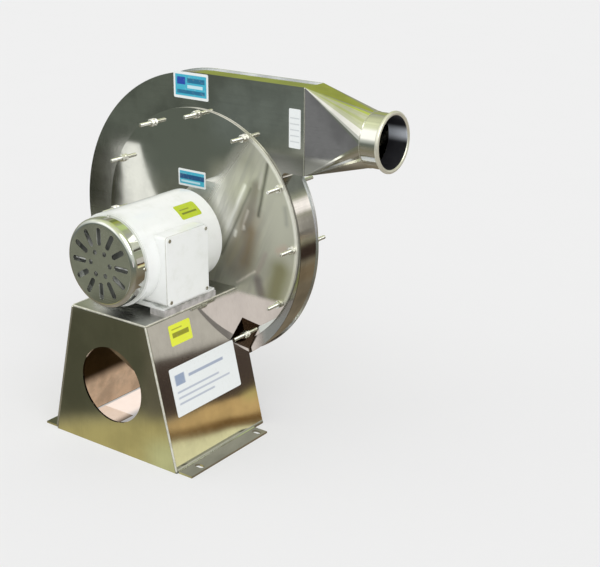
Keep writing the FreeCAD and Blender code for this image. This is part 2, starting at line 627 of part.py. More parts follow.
def bearing(name, start, width, bore, outside):
    """Shielded ball bearing as its outer ring, with the shields, and its inner ring."""
    outer = new_piece(name + "_outer_ring")
    inner_face = "%s - ring_height" % outside
    shield = "%s + ring_height + 0.5" % bore
    end = "%s + %s" % (start, width)
    profile = [(start, outside), (end, outside), (end, shield), (end + " - 1", shield),
               (end + " - 1", inner_face), (start + " + 1", inner_face), (start + " + 1", shield),
               (start, shield)]
    turn(outer, lambda sketch: polygon(sketch, profile))
    ring(new_piece(name + "_inner_ring"), start, end, "%s + seat_gap" % bore, "%s + ring_height" % bore)


def cooling_fan():
    piece = new_piece("cooling_fan")
    plate = "rear_bell_y - tie_head - 3"
    profile = [("shaft_rear_y", "fan_seat_radius + seat_gap"), (plate, "fan_seat_radius + seat_gap"),
               (plate, "fan_radius"), (plate + " - fan_sheet", "fan_radius"),
               (plate + " - fan_sheet", "fan_hub_radius"), ("shaft_rear_y", "fan_hub_radius")]
    turn(piece, lambda sketch: polygon(sketch, profile))
    blade = extrude(piece, "XZ", lambda sketch: rectangle(sketch, "fan_hub_radius - 1", "fan_radius",
                    "-fan_sheet / 2", "fan_sheet / 2"), "shaft_rear_y", plate + " - fan_sheet")
    repeat(piece, [blade], "fan_blade_count")


def cover_screw_holes(piece, inner, outer):
    screw = extrude(piece, "XY", lambda sketch: circle(sketch, "0", "(rear_bell_y + cover_seat_y) / 2",
                    "cover_screw_radius + seat_gap"), inner, outer, cut=True)
    repeat(piece, [screw], "4")


def fan_cover():
    """Pressed cover: a rounded cup whose end face has radial vents round a ring of holes."""
    piece = new_piece("fan_cover")
    inner = "fan_cover_radius - fan_cover_sheet"
    sheet = "fan_cover_y + fan_cover_sheet"
    profile = [("fan_cover_y", "0"), (sheet, "0"), (sheet, inner), ("cover_seat_y", inner),
               ("cover_seat_y", "fan_cover_radius"), ("fan_cover_y", "fan_cover_radius")]
    turn(piece, lambda sketch: polygon(sketch, profile))
    for level, radius in (("fan_cover_y", "fan_cover_rounding"),
                          (sheet, "fan_cover_rounding - fan_cover_sheet")):
        round_edges(piece, radius, lambda edge, middle: edge.Curve.TypeId == "Part::GeomCircle"
                    and near(middle.y, level))
    far = "fan_cover_y + fan_cover_sheet + 1"
    vent = extrude(piece, "XZ", lambda sketch: slot(sketch, "vent_outer - vent_length / 2", "0",
                   "vent_length", "vent_width"), "fan_cover_y - 1", far, cut=True)
    repeat(piece, [vent], "vent_count")
    hole = extrude(piece, "XZ", lambda sketch: circle(sketch, "hub_vent_circle", "0", "hub_vent_radius"),
                   "fan_cover_y - 1", far, cut=True)
    repeat(piece, [hole], "hub_vent_count")
    cover_screw_holes(piece, inner + " - 1", "fan_cover_radius + 1")


def fan_cover_screws():
    piece = new_piece("fan_cover_screws")
    level = "(rear_bell_y + cover_seat_y) / 2"
    head = extrude(piece, "XY", lambda sketch: circle(sketch, "0", level, "cover_screw_head"),
                   "fan_cover_radius", "fan_cover_radius + cover_screw_height")
    shank = extrude(piece, "XY", lambda sketch: circle(sketch, "0", level, "cover_screw_radius"),
                    "cover_seat_radius - 6", "fan_cover_radius")
    repeat(piece, [head, shank], "4")


# Conduit box

BOX = ("box_centre - box_length / 2", "box_centre + box_length / 2", "-box_below_axis", "box_above_axis")
BOX_CORNERS = [(y, z) for y in ("box_centre - box_length / 2 + lid_screw_inset",
                                "box_centre + box_length / 2 - lid_screw_inset")
               for z in ("lid_screw_inset - box_below_axis", "box_above_axis - lid_screw_inset")]


def shrunk_box(sketch, wall):
    left, right, bottom, top = BOX
    rectangle(sketch, left + " + " + wall, right + " - " + wall, bottom + " + " + wall, top + " - " + wall)


def lid_screw_circles(radius):
    def draw(sketch):
        for y, z in BOX_CORNERS:
            circle(sketch, y, z, radius)
    return draw


def rounded_frame(piece, start, end):
    """Box outline in the YZ plane with its four long edges rounded."""
    extrude(piece, "YZ", lambda sketch: shrunk_box(sketch, "0"), start, end)
    round_edges(piece, "box_rounding", lambda edge, middle: runs_along(edge, "x"))


def conduit_box():
    piece = new_piece("conduit_box")
    rounded_frame(piece, "barrel_radius / 2", "gasket_x")
    extrude(piece, "YZ", lambda sketch: shrunk_box(sketch, "box_wall"), "barrel_radius / 2 - 1",
            "gasket_x + 1", cut=True)
    extrude(piece, "YZ", lid_screw_circles("lug_radius"), "gasket_x - lid_screw_length - lug_floor",
            "gasket_x")
    extrude(piece, "YZ", lid_screw_circles("lid_screw_radius + seat_gap"), "gasket_x - lid_screw_length",
            "gasket_x", cut=True)
    extrude(piece, "XZ", lambda sketch: circle(sketch, "0", "0", "barrel_radius + seat_gap"),
            BOX[0] + " - 1", BOX[1] + " + 1", cut=True)
    extrude(piece, "XY", lambda sketch: circle(sketch, "box_reach - 2 * plug_radius", "box_centre",
            "plug_radius + seat_gap"), "-box_below_axis - 1", "-box_below_axis + box_wall + 1", cut=True)


def conduit_gasket():
    piece = new_piece("conduit_gasket")
    rounded_frame(piece, "gasket_x", "lid_x")
    extrude(piece, "YZ", lambda sketch: shrunk_box(sketch, "lid_screw_inset + lug_radius"),
            "gasket_x", "lid_x", cut=True)
    extrude(piece, "YZ", lid_screw_circles("lid_screw_radius + seat_gap"), "gasket_x", "lid_x", cut=True)


def conduit_lid():
    piece = new_piece("conduit_lid")
    rounded_frame(piece, "lid_x", "box_reach")
    extrude(piece, "YZ", lid_screw_circles("lid_screw_radius + seat_gap"), "lid_x", "box_reach", cut=True)


def conduit_lid_screws():
    piece = new_piece("conduit_lid_screws")
    extrude(piece, "YZ", lid_screw_circles("lid_screw_head"), "box_reach", "box_reach + lid_screw_height")
    extrude(piece, "YZ", lid_screw_circles("lid_screw_radius"), "box_reach - lid_screw_length", "box_reach")


def conduit_plug():
    """Blanking plug in the conduit entry under the box."""
    piece = new_piece("conduit_plug")
    across, along = "box_reach - 2 * plug_radius", "box_centre"
    extrude(piece, "XY", lambda sketch: circle(sketch, across, along, "plug_head"),
            "-box_below_axis - plug_height", "-box_below_axis")
    extrude(piece, "XY", lambda sketch: circle(sketch, across, along, "plug_radius"),
            "-box_below_axis", "-box_below_axis + box_wall + 2")


# Casing

def stud_holes(piece, start, end):
    hole = extrude(piece, "XZ", lambda sketch: circle(sketch, "stud_circle", "0", "stud_hole"),
                   start, end, cut=True)
    repeat(piece, [hole], "stud_count")


def drive_plate():
    """Round plate welded to the pedestal: it closes the casing's drive side and holds the shaft seal."""
    piece = new_piece("drive_plate")
    step = "gasket_y - seal_lip_thickness"
    profile = [("face_y", "plate_radius"), ("gasket_y", "plate_radius"), ("gasket_y", "seal_lip"),
               (step, "seal_lip"), (step, "seal_radius + seat_gap"), ("face_y", "seal_radius + seat_gap")]
    turn(piece, lambda sketch: polygon(sketch, profile))
    stud_holes(piece, "face_y", "gasket_y")
    screw = extrude(piece, "XZ", lambda sketch: circle(sketch, "retainer_screw_circle", "0",
                    "retainer_screw_radius + seat_gap"), "face_y", "gasket_y", cut=True)
    repeat(piece, [screw], "retainer_screw_count")


def inlet_plate():
    piece = new_piece("inlet_plate")
    ring(piece, "inlet_plate_y", "inlet_face_y", "inlet_radius + seat_gap", "plate_radius")
    stud_holes(piece, "inlet_plate_y", "inlet_face_y")


def plate_gasket(name, start):
    piece = new_piece(name)
    end = start + " + gasket_thickness"
    ring(piece, start, end, "gasket_inner", "plate_radius")
    stud_holes(piece, start, end)


def casing_side(name, start):
    """Flat side sheet of the scroll and its duct, open where the wheel goes in."""
    piece = new_piece(name)
    end = start + " + side_sheet"
    extrude(piece, "XZ", lambda sketch: sheet_scroll(sketch, "0", "duct_end"), start, end)
    round_edges(piece, "cutoff_rounding", at_cutoff("0"))
    extrude(piece, "XZ", lambda sketch: circle(sketch, "0", "0", "opening_radius"), start, end, cut=True)


def at_cutoff(inset):
    """Test for the edge across the casing where the scroll meets the duct's floor."""
    def chosen(edge, middle):
        return (runs_along(edge, "y") and near(middle.z, "duct_floor + (%s)" % inset)
                and middle.x < value("duct_end") - 1)
    return chosen


def scroll_wrapper():
    """Curved wall between the two side sheets, from the cutoff round to the end of the duct."""
    piece = new_piece("scroll_wrapper")
    start, end = "casing_y + side_sheet", "casing_far_y - side_sheet"
    extrude(piece, "XZ", lambda sketch: sheet_scroll(sketch, "sheet_lip", "duct_end"), start, end)
    round_edges(piece, "cutoff_rounding + sheet_lip", at_cutoff("sheet_lip"))
    inner = "sheet_lip + wrapper_sheet"
    extrude(piece, "XZ", lambda sketch: sheet_scroll(sketch, inner, "duct_end + 1"),
            start + " - 1", end + " + 1", cut=True)
    round_edges(piece, "cutoff_rounding + sheet_lip + wrapper_sheet", at_cutoff(inner))


def studs(name, base, reach):
    """Weld studs on a side sheet; reach is the level of their free ends."""
    piece = new_piece(name)
    start, end = (base, reach) if value(reach) > value(base) else (reach, base)
    stud = extrude(piece, "XZ", lambda sketch: circle(sketch, "stud_circle", "0", "stud_radius"), start, end)
    repeat(piece, [stud], "stud_count")


def stud_washers(name, start, end):
    piece = new_piece(name)

    def washer(sketch):
        circle(sketch, "stud_circle", "0", "washer_radius")
        circle(sketch, "stud_circle", "0", "stud_radius + seat_gap")
    repeat(piece, [extrude(piece, "XZ", washer, start, end)], "stud_count")


def stud_nuts(name, start, end):
    piece = new_piece(name)

    def nut(sketch):
        hexagon(sketch, "stud_circle", "0", "nut_across")
        circle(sketch, "stud_circle", "0", "stud_radius + seat_gap")
    repeat(piece, [extrude(piece, "XZ", nut, start, end)], "stud_count")


# Outlet

def square_to_round(half_width, half_height, start, radius, end, bends):
    """Solid between a rectangle and a circle: four flat triangles, and folded corners between them."""
    corners = [FreeCAD.Vector(start, y, z) for y, z in ((half_width, half_height), (-half_width, half_height),
                                                        (-half_width, -half_height), (half_width, -half_height))]
    count = 4 * bends
    rim = [FreeCAD.Vector(end, radius * math.cos(2 * math.pi * number / count),
                          radius * math.sin(2 * math.pi * number / count)) for number in range(count)]
    triangles = []
    for number, corner in enumerate(corners):
        for bend in range(number * bends, (number + 1) * bends):
            triangles.append((corner, rim[bend], rim[(bend + 1) % count]))
        triangles.append((corner, rim[(number + 1) * bends % count], corners[(number + 1) % 4]))
    outlines = triangles + [corners, rim]
    faces = [Part.Face(Part.makePolygon([*outline, outline[0]])) for outline in outlines]
    return Part.makeSolid(Part.makeShell(faces))


def outlet_transition():
    """Folded sheet from the rectangular duct to the round outlet."""
    wall, start, end = value("transition_sheet"), value("duct_end"), value("transition_end")
    width, height = value("casing_width") / 2, (value("scroll_radius") - value("duct_floor")) / 2
    radius, bends = value("outlet_radius"), int(value("bends_per_corner"))
    outside = square_to_round(width, height, start, radius, end, bends)
    inside = square_to_round(width - wall, height - wall, start, radius - value("outlet_wall"), end, bends)
    feature = doc.addObject("Part::Feature", "outlet_transition")
    feature.Label = "outlet_transition"
    feature.Shape = outside.cut(inside)
    for letter, formula in zip("yz", ("casing_middle_y", "axis_z + outlet_rise")):
        bind(feature, "Placement.Base." + letter, formula)
    pieces.append(feature)


def beaded_profile(sketch, start, end, radius, wall):
    """Half section of a pipe whose mouth is rolled outwards into a bead."""
    inner, bead = "%s - %s" % (radius, wall), "%s - bead_radius" % end
    centre_up = "%s + bead_radius" % inner
    root = "%s - sqrt(bead_radius ^ 2 - (bead_radius - %s) ^ 2)" % (bead, wall)
    centre = spot(bead, centre_up)
    foot = spot(root, radius) - centre
    round_line = Part.Circle(centre, FreeCAD.Vector(0, 0, 1), value("bead_radius"))
    arc = sketch.addGeometry(Part.ArcOfCircle(round_line, -math.pi / 2, math.atan2(foot.y, foot.x)), False)
    corners = [spot(root, radius), spot(start, radius), spot(start, inner), spot(bead, inner)]
    lines = [sketch.addGeometry(Part.LineSegment(*ends), False) for ends in zip(corners, corners[1:])]
    chain = [arc, *lines]
    for line, following in zip(chain, chain[1:] + chain[:1]):
        sketch.addConstraint(Sketcher.Constraint("Coincident", line, 2, following, 1))
    fix_point(sketch, arc, 3, bead, centre_up)
    fix_point(sketch, arc, 1, bead, inner)
    fix_length(sketch, "DistanceY", -1, 1, arc, 2, size=radius)
    fix_point(sketch, lines[1], 1, start, radius)
    fix_point(sketch, lines[1], 2, start, inner)


def beaded_pipe(name, plane, start, end, radius, wall, **place):
    """Short pipe with a rolled bead at its mouth."""
    turn(new_piece(name, **place), lambda sketch: beaded_profile(sketch, start, end, radius, wall), plane)


# Inlet

def inlet_cone():
    """Flanged throat behind the inlet plate that leads the air into the wheel's eye."""
    piece = new_piece("inlet_cone")
    back = "inlet_plate_y - cone_sheet"
    tip = "eye_end_y - throat_overlap"
    bore = "inlet_radius - inlet_wall"
    profile = [("inlet_plate_y", bore), ("inlet_plate_y", "inlet_radius + cone_flange"),
               (back, "inlet_radius + cone_flange"), (back, bore + " + cone_sheet"),
               (tip, "throat_radius + cone_sheet"), (tip, "throat_radius")]
    turn(piece, lambda sketch: polygon(sketch, profile))


# Wheel

def shroud_level(radius):
    """Level of the shroud's inner face at a radius."""
    return "(tip_y + shroud_slope * (wheel_radius - (%s)))" % radius


def wheel_backplate():
    piece = new_piece("wheel_backplate")
    ring(piece, "wheel_back_y", "wheel_face_y", "hub_radius + seat_gap", "wheel_radius")
    rivet_holes(piece, "wheel_back_y", "wheel_face_y")


def rivet_holes(piece, start, end):
    hole = extrude(piece, "XZ", lambda sketch: circle(sketch, "rivet_circle", "0",
                   "rivet_radius + seat_gap"), start, end, cut=True)
    repeat(piece, [hole], "rivet_count")


def wheel_shroud():
    """Conical front of the wheel, with a short lip round its eye."""
    piece = new_piece("wheel_shroud")
    profile = [("tip_y", "wheel_radius"), ("tip_y + shroud_sheet", "wheel_radius"),
               ("eye_y + shroud_sheet", "eye_outer"), ("eye_end_y", "eye_outer"),
               ("eye_end_y", "eye_radius"), ("eye_y", "eye_radius"), ("eye_y", "eye_outer")]
    turn(piece, lambda sketch: polygon(sketch, profile))


def blade_outline(sketch):
    """Curved strip from the blade's inner end to its tip, swept back against the turning."""
    tip = ("blade_outer * cos(blade_sweep)", "blade_outer * sin(blade_sweep)")
    start, end = spot("blade_inner", "0"), spot(*tip)
    bend, sheet = value("blade_curve"), value("blade_sheet")
    chord = end - start
    rise = math.sqrt(bend ** 2 - (chord.Length / 2) ** 2)
    across = FreeCAD.Vector(-chord.y, chord.x, 0).normalize()
    centre = (start + end) * 0.5 + across * rise
    normal = FreeCAD.Vector(0, 0, 1)
    turns = [math.atan2((place - centre).y, (place - centre).x) for place in (start, end)]
    strips = [sketch.addGeometry(Part.ArcOfCircle(Part.Circle(centre, normal, radius), *turns), False)
              for radius in (bend, bend - sheet)]
    outer, inner = (sketch.Geometry[strip] for strip in strips)
    sketch.addConstraint(Sketcher.Constraint("Coincident", strips[0], 3, strips[1], 3))
    for end_number, (far, close) in enumerate(((outer.StartPoint, inner.StartPoint),
                                               (outer.EndPoint, inner.EndPoint)), start=1):
        line = sketch.addGeometry(Part.LineSegment(far, close), False)
        sketch.addConstraint(Sketcher.Constraint("Coincident", line, 1, strips[0], end_number))
        sketch.addConstraint(Sketcher.Constraint("Coincident", line, 2, strips[1], end_number))
        sketch.addConstraint(Sketcher.Constraint("PointOnObject", strips[0], 3, line))
    fix_point(sketch, strips[0], 1, "blade_inner", "0")
    fix_point(sketch, strips[0], 2, *tip)
    fix_length(sketch, "Radius", strips[0], size="blade_curve")
    fix_length(sketch, "Radius", strips[1], size="blade_curve - blade_sheet")


def wheel_blades():
    """Swept-back blades between the backplate and the shroud, trimmed to the shroud's cone."""
    piece = new_piece("wheel_blades")
    top = shroud_level("blade_inner - 10")
    blade = extrude(piece, "XZ", blade_outline, "wheel_face_y", top)
    repeat(piece, [blade], "blade_count")
    low, high = "blade_inner - 10", "wheel_radius + 5"
    above = [(shroud_level(low), low), (shroud_level(high), high), (top + " + 1", high), (top + " + 1", low)]
    turn(piece, lambda sketch: polygon(sketch, above), cut=True)


def wheel_hub():
    piece = new_piece("wheel_hub")
    bore = "shaft_radius + seat_gap"
    flange = "wheel_face_y + hub_flange"
    profile = [("hub_y", bore), ("hub_y", "hub_radius"), ("wheel_face_y", "hub_radius"),
               ("wheel_face_y", "hub_flange_radius"), (flange, "hub_flange_radius"), (flange, "hub_radius"),
               ("hub_end_y", "hub_radius"), ("hub_end_y", bore)]
    turn(piece, lambda sketch: polygon(sketch, profile))
    half = "key_width / 2 + seat_gap / 2"
    keyway = (lambda sketch: rectangle(sketch, "-(%s)" % half, half, "shaft_radius / 2",
                                       "shaft_radius + key_depth"))
    extrude(piece, "XZ", keyway, "hub_y - 1", "hub_end_y + 1", cut=True)
    rivet_holes(piece, "wheel_face_y", flange)


def wheel_rivets():
    piece = new_piece("wheel_rivets")
    flange = "wheel_face_y + hub_flange"
    levels = [("wheel_back_y - rivet_head_height", "wheel_back_y", "rivet_head"),
              ("wheel_back_y", flange, "rivet_radius"), (flange, flange + " + rivet_head_height", "rivet_head")]
    steps = [extrude(piece, "XZ", lambda sketch: circle(sketch, "rivet_circle", "0", radius), start, end)
             for start, end, radius in levels]
    repeat(piece, steps, "rivet_count")


def shaft_key():
    piece = new_piece("shaft_key")
    outline = (lambda sketch: rectangle(sketch, "-key_width / 2", "key_width / 2",
                                        "shaft_radius - key_depth + seat_gap",
                                        "shaft_radius + key_depth - seat_gap"))
    extrude(piece, "XZ", outline, "hub_y", "hub_y + key_length")


def hub_washer():
    ring(new_piece("hub_washer"), "hub_end_y", "hub_end_y + end_washer", "end_screw_radius + seat_gap",
         "end_washer_radius")


def hub_screw():
    piece = new_piece("hub_screw")
    head = "hub_end_y + end_washer"
    extrude(piece, "XZ", lambda sketch: hexagon(sketch, "0", "0", "end_screw_across"), head,
            head + " + end_screw_head")
    extrude(piece, "XZ", lambda sketch: circle(sketch, "0", "0", "end_screw_radius"),
            head + " - end_screw_length", head)


# Shaft seal

def seal_retainer():
    piece = new_piece("seal_retainer")
    ring(piece, "face_y - retainer_thickness", "face_y", "retainer_bore", "retainer_radius")
    screw = extrude(piece, "XZ", lambda sketch: circle(sketch, "retainer_screw_circle", "0",
                    "retainer_screw_radius + seat_gap"), "face_y - retainer_thickness", "face_y", cut=True)
    repeat(piece, [screw], "retainer_screw_count")


def seal_screws():
    piece = new_piece("seal_screws")
    outer = "face_y - retainer_thickness"
    head = extrude(piece, "XZ", lambda sketch: circle(sketch, "retainer_screw_circle", "0",
                   "retainer_screw_head"), outer + " - retainer_screw_height", outer)
    shank = extrude(piece, "XZ", lambda sketch: circle(sketch, "retainer_screw_circle", "0",
                    "retainer_screw_radius"), outer, "gasket_y")
    repeat(piece, [head, shank], "retainer_screw_count")


# The blower, from the floor up

pedestal_rear_plate()
pedestal_top_plate()
pedestal_side("pedestal_side_left", -1)
pedestal_side("pedestal_side_right", 1)

for word, side, column in zip(("left", "right"), (-1, 1), FOOT_BOLTS_X):
    motor_pad("motor_pad_" + word, column)
    motor_foot("motor_foot_" + word, side, column)
motor_bolts()
motor_nuts()
motor_barrel()
front_end_bell()
rear_end_bell()
tie_bolts()
tie_bolt_nuts()
stator_core()
stator_windings()
rotor_core()
motor_shaft()
bearing("front_bearing", "front_bearing_y", "front_bearing_width", "front_seat_radius",
        "front_bearing_radius")
bearing("rear_bearing", "rear_bearing_y", "rear_bearing_width", "rear_seat_radius", "rear_bearing_radius")
cooling_fan()
fan_cover()
fan_cover_screws()
conduit_box()
conduit_gasket()
conduit_lid()
conduit_lid_screws()
conduit_plug()

drive_plate()
plate_gasket("drive_gasket", "gasket_y")
casing_side("casing_drive_sheet", "casing_y")
scroll_wrapper()
casing_side("casing_inlet_sheet", "casing_far_y - side_sheet")
plate_gasket("inlet_gasket", "casing_far_y")
inlet_plate()
studs("drive_studs", "casing_y", "face_y - stud_reach")
stud_washers("drive_washers", "face_y - washer_thickness", "face_y")
stud_nuts("drive_nuts", "face_y - washer_thickness - nut_height", "face_y - washer_thickness")
studs("inlet_studs", "casing_far_y", "inlet_face_y + stud_reach")
stud_washers("inlet_washers", "inlet_face_y", "inlet_face_y + washer_thickness")
stud_nuts("inlet_nuts", "inlet_face_y + washer_thickness", "inlet_face_y + washer_thickness + nut_height")

outlet_transition()
beaded_pipe("outlet_collar", "XZ", "transition_end", "outlet_end", "outlet_radius", "outlet_wall",
            y="casing_middle_y", z="axis_z + outlet_rise")
beaded_pipe("inlet_pipe", "YZ", "inlet_plate_y", "inlet_face_y + inlet_length", "inlet_radius",
            "inlet_wall")
inlet_cone()

wheel_backplate()
wheel_blades()
wheel_shroud()
wheel_hub()
wheel_rivets()
shaft_key()
hub_washer()
hub_screw()
ring(new_piece("shaft_seal"), "face_y", "gasket_y - seal_lip_thickness", "shaft_radius + running_gap",
     "seal_radius")
seal_retainer()
seal_screws()

# Checks and files

doc.recompute()
for thing in doc.Objects:
    if "Invalid" in thing.State or "Error" in thing.State:
        raise RuntimeError("%s failed: %s" % (thing.Label, thing.State))
os.makedirs("parts", exist_ok=True)
for piece in pieces:
    shape = piece.Shape
    if shape.isNull() or not shape.isValid() or not shape.Solids:
        raise RuntimeError("%s has no valid shape" % piece.Label)
    shape.exportStep(os.path.join("parts", piece.Label + ".step"))
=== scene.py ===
# Looks of a stainless pressure blower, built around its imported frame.
# Lengths are in metres in the frame's own axes: X towards the outlet, Y towards the inlet, Z up.
import math

import bmesh
import bpy
from mathutils import Matrix, Vector


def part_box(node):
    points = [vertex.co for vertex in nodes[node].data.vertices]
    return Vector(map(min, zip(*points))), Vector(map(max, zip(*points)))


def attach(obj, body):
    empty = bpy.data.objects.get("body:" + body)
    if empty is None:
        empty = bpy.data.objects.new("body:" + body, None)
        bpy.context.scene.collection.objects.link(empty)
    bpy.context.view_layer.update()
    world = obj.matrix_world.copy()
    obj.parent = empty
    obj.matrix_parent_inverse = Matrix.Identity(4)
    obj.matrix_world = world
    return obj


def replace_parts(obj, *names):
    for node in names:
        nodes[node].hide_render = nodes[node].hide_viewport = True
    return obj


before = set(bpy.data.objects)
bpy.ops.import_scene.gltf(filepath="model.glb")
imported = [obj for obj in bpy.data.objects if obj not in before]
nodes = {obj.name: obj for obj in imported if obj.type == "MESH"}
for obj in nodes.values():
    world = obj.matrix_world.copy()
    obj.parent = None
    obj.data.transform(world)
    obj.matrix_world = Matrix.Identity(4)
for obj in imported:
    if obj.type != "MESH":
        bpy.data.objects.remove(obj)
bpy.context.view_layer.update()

HOUSING = "housing"
MM = 0.001

# The fan disc's thickness and the outlet's inner radius, as the solids have them.
FAN_DISC_SHEET = 3 * MM
COLLAR_BORE = 60.5 * MM

# Places read from the frame.
plate_low, plate_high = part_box("drive_plate")
AXIS = Vector((0, 0, (plate_low.z + plate_high.z) / 2))
DISC_FRONT = plate_low.y
sheet_low, sheet_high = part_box("casing_drive_sheet")
SHEET_FRONT = sheet_low.y
DUCT_END = sheet_high.x
barrel_low, barrel_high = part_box("motor_barrel")
BARREL_RADIUS = (barrel_high.x - barrel_low.x) / 2
rear_low, rear_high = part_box("pedestal_rear_plate")
top_low, top_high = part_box("pedestal_top_plate")
PEDESTAL_SHEET = rear_high.y - rear_low.y
REAR_FACE = rear_low.y
SIDE_NORMAL = Vector((top_high.z, 0, rear_high.x - top_high.x)).normalized()
SIDE_REACH = SIDE_NORMAL.x * rear_high.x
FAN_DISC_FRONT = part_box("cooling_fan")[1].y - FAN_DISC_SHEET
transition_low, transition_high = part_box("outlet_transition")
collar_low, collar_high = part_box("outlet_collar")
COLLAR_MIDDLE = (collar_low + collar_high) / 2


def display(red, green, blue):
    """Linear colour of a display colour given from 0 to 255."""
    def linear(part):
        part = part / 255
        return part / 12.92 if part <= 0.04045 else ((part + 0.055) / 1.055) ** 2.4
    return (linear(red), linear(green), linear(blue), 1.0)


def darker(colour, share):
    """The same colour with only a share of its light."""
    return tuple(part * share for part in colour[:3]) + (1.0,)


class Graph:
    """Adds nodes to one node tree and joins them."""

    def __init__(self, tree):
        self.tree = tree

    def feed(self, socket, source):
        if isinstance(source, bpy.types.NodeSocket):
            self.tree.links.new(source, socket)
        else:
            socket.default_value = source

    def fill(self, node, inputs):
        """Feeds inputs of a node by name or number."""
        for key, source in inputs.items():
            self.feed(node.inputs[key], source)

    def add(self, kind, inputs=None, **settings):
        node = self.tree.nodes.new(kind)
        for name, setting in settings.items():
            setattr(node, name, setting)
        self.fill(node, inputs or {})
        return node

    def math(self, operation, *sources):
        return self.add("ShaderNodeMath", dict(enumerate(sources)), operation=operation).outputs[0]

    def plus(self, first, second):
        return self.math("ADD", first, second)

    def minus(self, first, second):
        return self.math("SUBTRACT", first, second)

    def times(self, first, second):
        return self.math("MULTIPLY", first, second)

    def vector(self, operation, *sources):
        node = self.add("ShaderNodeVectorMath", dict(enumerate(sources)), operation=operation)
        return node.outputs["Value" if operation in ("LENGTH", "DOT_PRODUCT") else "Vector"]

    def mix(self, factor, first, second):
        return self.add("ShaderNodeMix", {0: factor, 6: first, 7: second}, data_type="RGBA").outputs[2]

    def noise(self, place, scale, detail=2.0, roughness=0.5):
        return self.add("ShaderNodeTexNoise", {
            "Vector": place, "Scale": scale, "Detail": detail, "Roughness": roughness}).outputs[0]

    def smooth(self, source, low, high, first=0.0, last=1.0):
        node = self.add("ShaderNodeMapRange", {
            "Value": source, "From Min": low, "From Max": high, "To Min": first, "To Max": last},
            interpolation_type="SMOOTHSTEP")
        return node.outputs["Result"]

    def ramp(self, factor, stops):
        node = self.add("ShaderNodeValToRGB", {"Fac": factor})
        band = node.color_ramp
        while len(band.elements) < len(stops):
            band.elements.new(0.5)
        for element, (position, colour) in zip(band.elements, stops):
            element.position = position
            element.color = colour
        return node.outputs["Color"]

    def parts(self, vector):
        return self.add("ShaderNodeSeparateXYZ", {"Vector": vector}).outputs

    def join(self, x, y, z):
        return self.add("ShaderNodeCombineXYZ", {"X": x, "Y": y, "Z": z}).outputs["Vector"]

    def bump(self, height, strength, distance, under=None):
        inputs = {"Height": height, "Strength": strength, "Distance": distance}
        if under is not None:
            inputs["Normal"] = under
        return self.add("ShaderNodeBump", inputs).outputs["Normal"]


def add_object(name, data):
    """A new object in the scene."""
    thing = bpy.data.objects.new(name, data)
    bpy.context.scene.collection.objects.link(thing)
    return thing


# Camera at the photograph's place, worked out from the object's own points.
CAMERA_PLACE = Vector((1.8674, -1.9991, 1.3645))
CAMERA_AZIMUTH = math.radians(35.66)
CAMERA_ELEVATION = math.radians(19.81)
CAMERA_ROLL = math.radians(0.47)
FOCAL_PIXELS = 1184
PICTURE_WIDTH = 600
SENSOR_MM = 36


def add_camera():
    """The photograph's own view."""
    data = bpy.data.cameras.new("camera")
    data.sensor_width = SENSOR_MM
    data.lens = FOCAL_PIXELS * SENSOR_MM / PICTURE_WIDTH
    data.clip_end = 200
    camera = add_object("camera", data)
    turn = Matrix.Rotation(CAMERA_AZIMUTH, 4, "Z") @ Matrix.Rotation(math.pi / 2 - CAMERA_ELEVATION, 4, "X")
    turn = turn @ Matrix.Rotation(CAMERA_ROLL, 4, "Z")
    camera.matrix_world = Matrix.Translation(CAMERA_PLACE) @ turn
    bpy.context.scene.camera = camera


# What the polished steel mirrors: a workshop, by compass and height in degrees. The compass is zero
# along +Y and turns towards -X. Each display colour is the one that the steel then shows.
FAR_SIDE = [
    (-90, (140, 133, 121)),
    (-50, (120, 112, 97)),
    (-38, (110, 99, 82)),
    (-28, (116, 107, 90)),
    (-14, (126, 121, 104)),
    (2, (134, 134, 116)),
    (9, (158, 159, 138)),
    (16, (146, 150, 130)),
    (24, (150, 153, 134)),
    (38, (150, 153, 136)),
    (55, (190, 195, 158)),
    (90, (206, 210, 182)),
]
NEAR_SIDE = [
    (-90, (140, 133, 121)),
    (-50, (139, 132, 121)),
    (-30, (120, 116, 98)),
    (-18, (104, 106, 94)),
    (-8, (100, 106, 98)),
    (-2, (150, 156, 150)),
    (4, (190, 194, 188)),
    (24, (226, 229, 220)),
    (55, (222, 228, 190)),
    (75, (206, 211, 172)),
    (90, (206, 210, 182)),
]
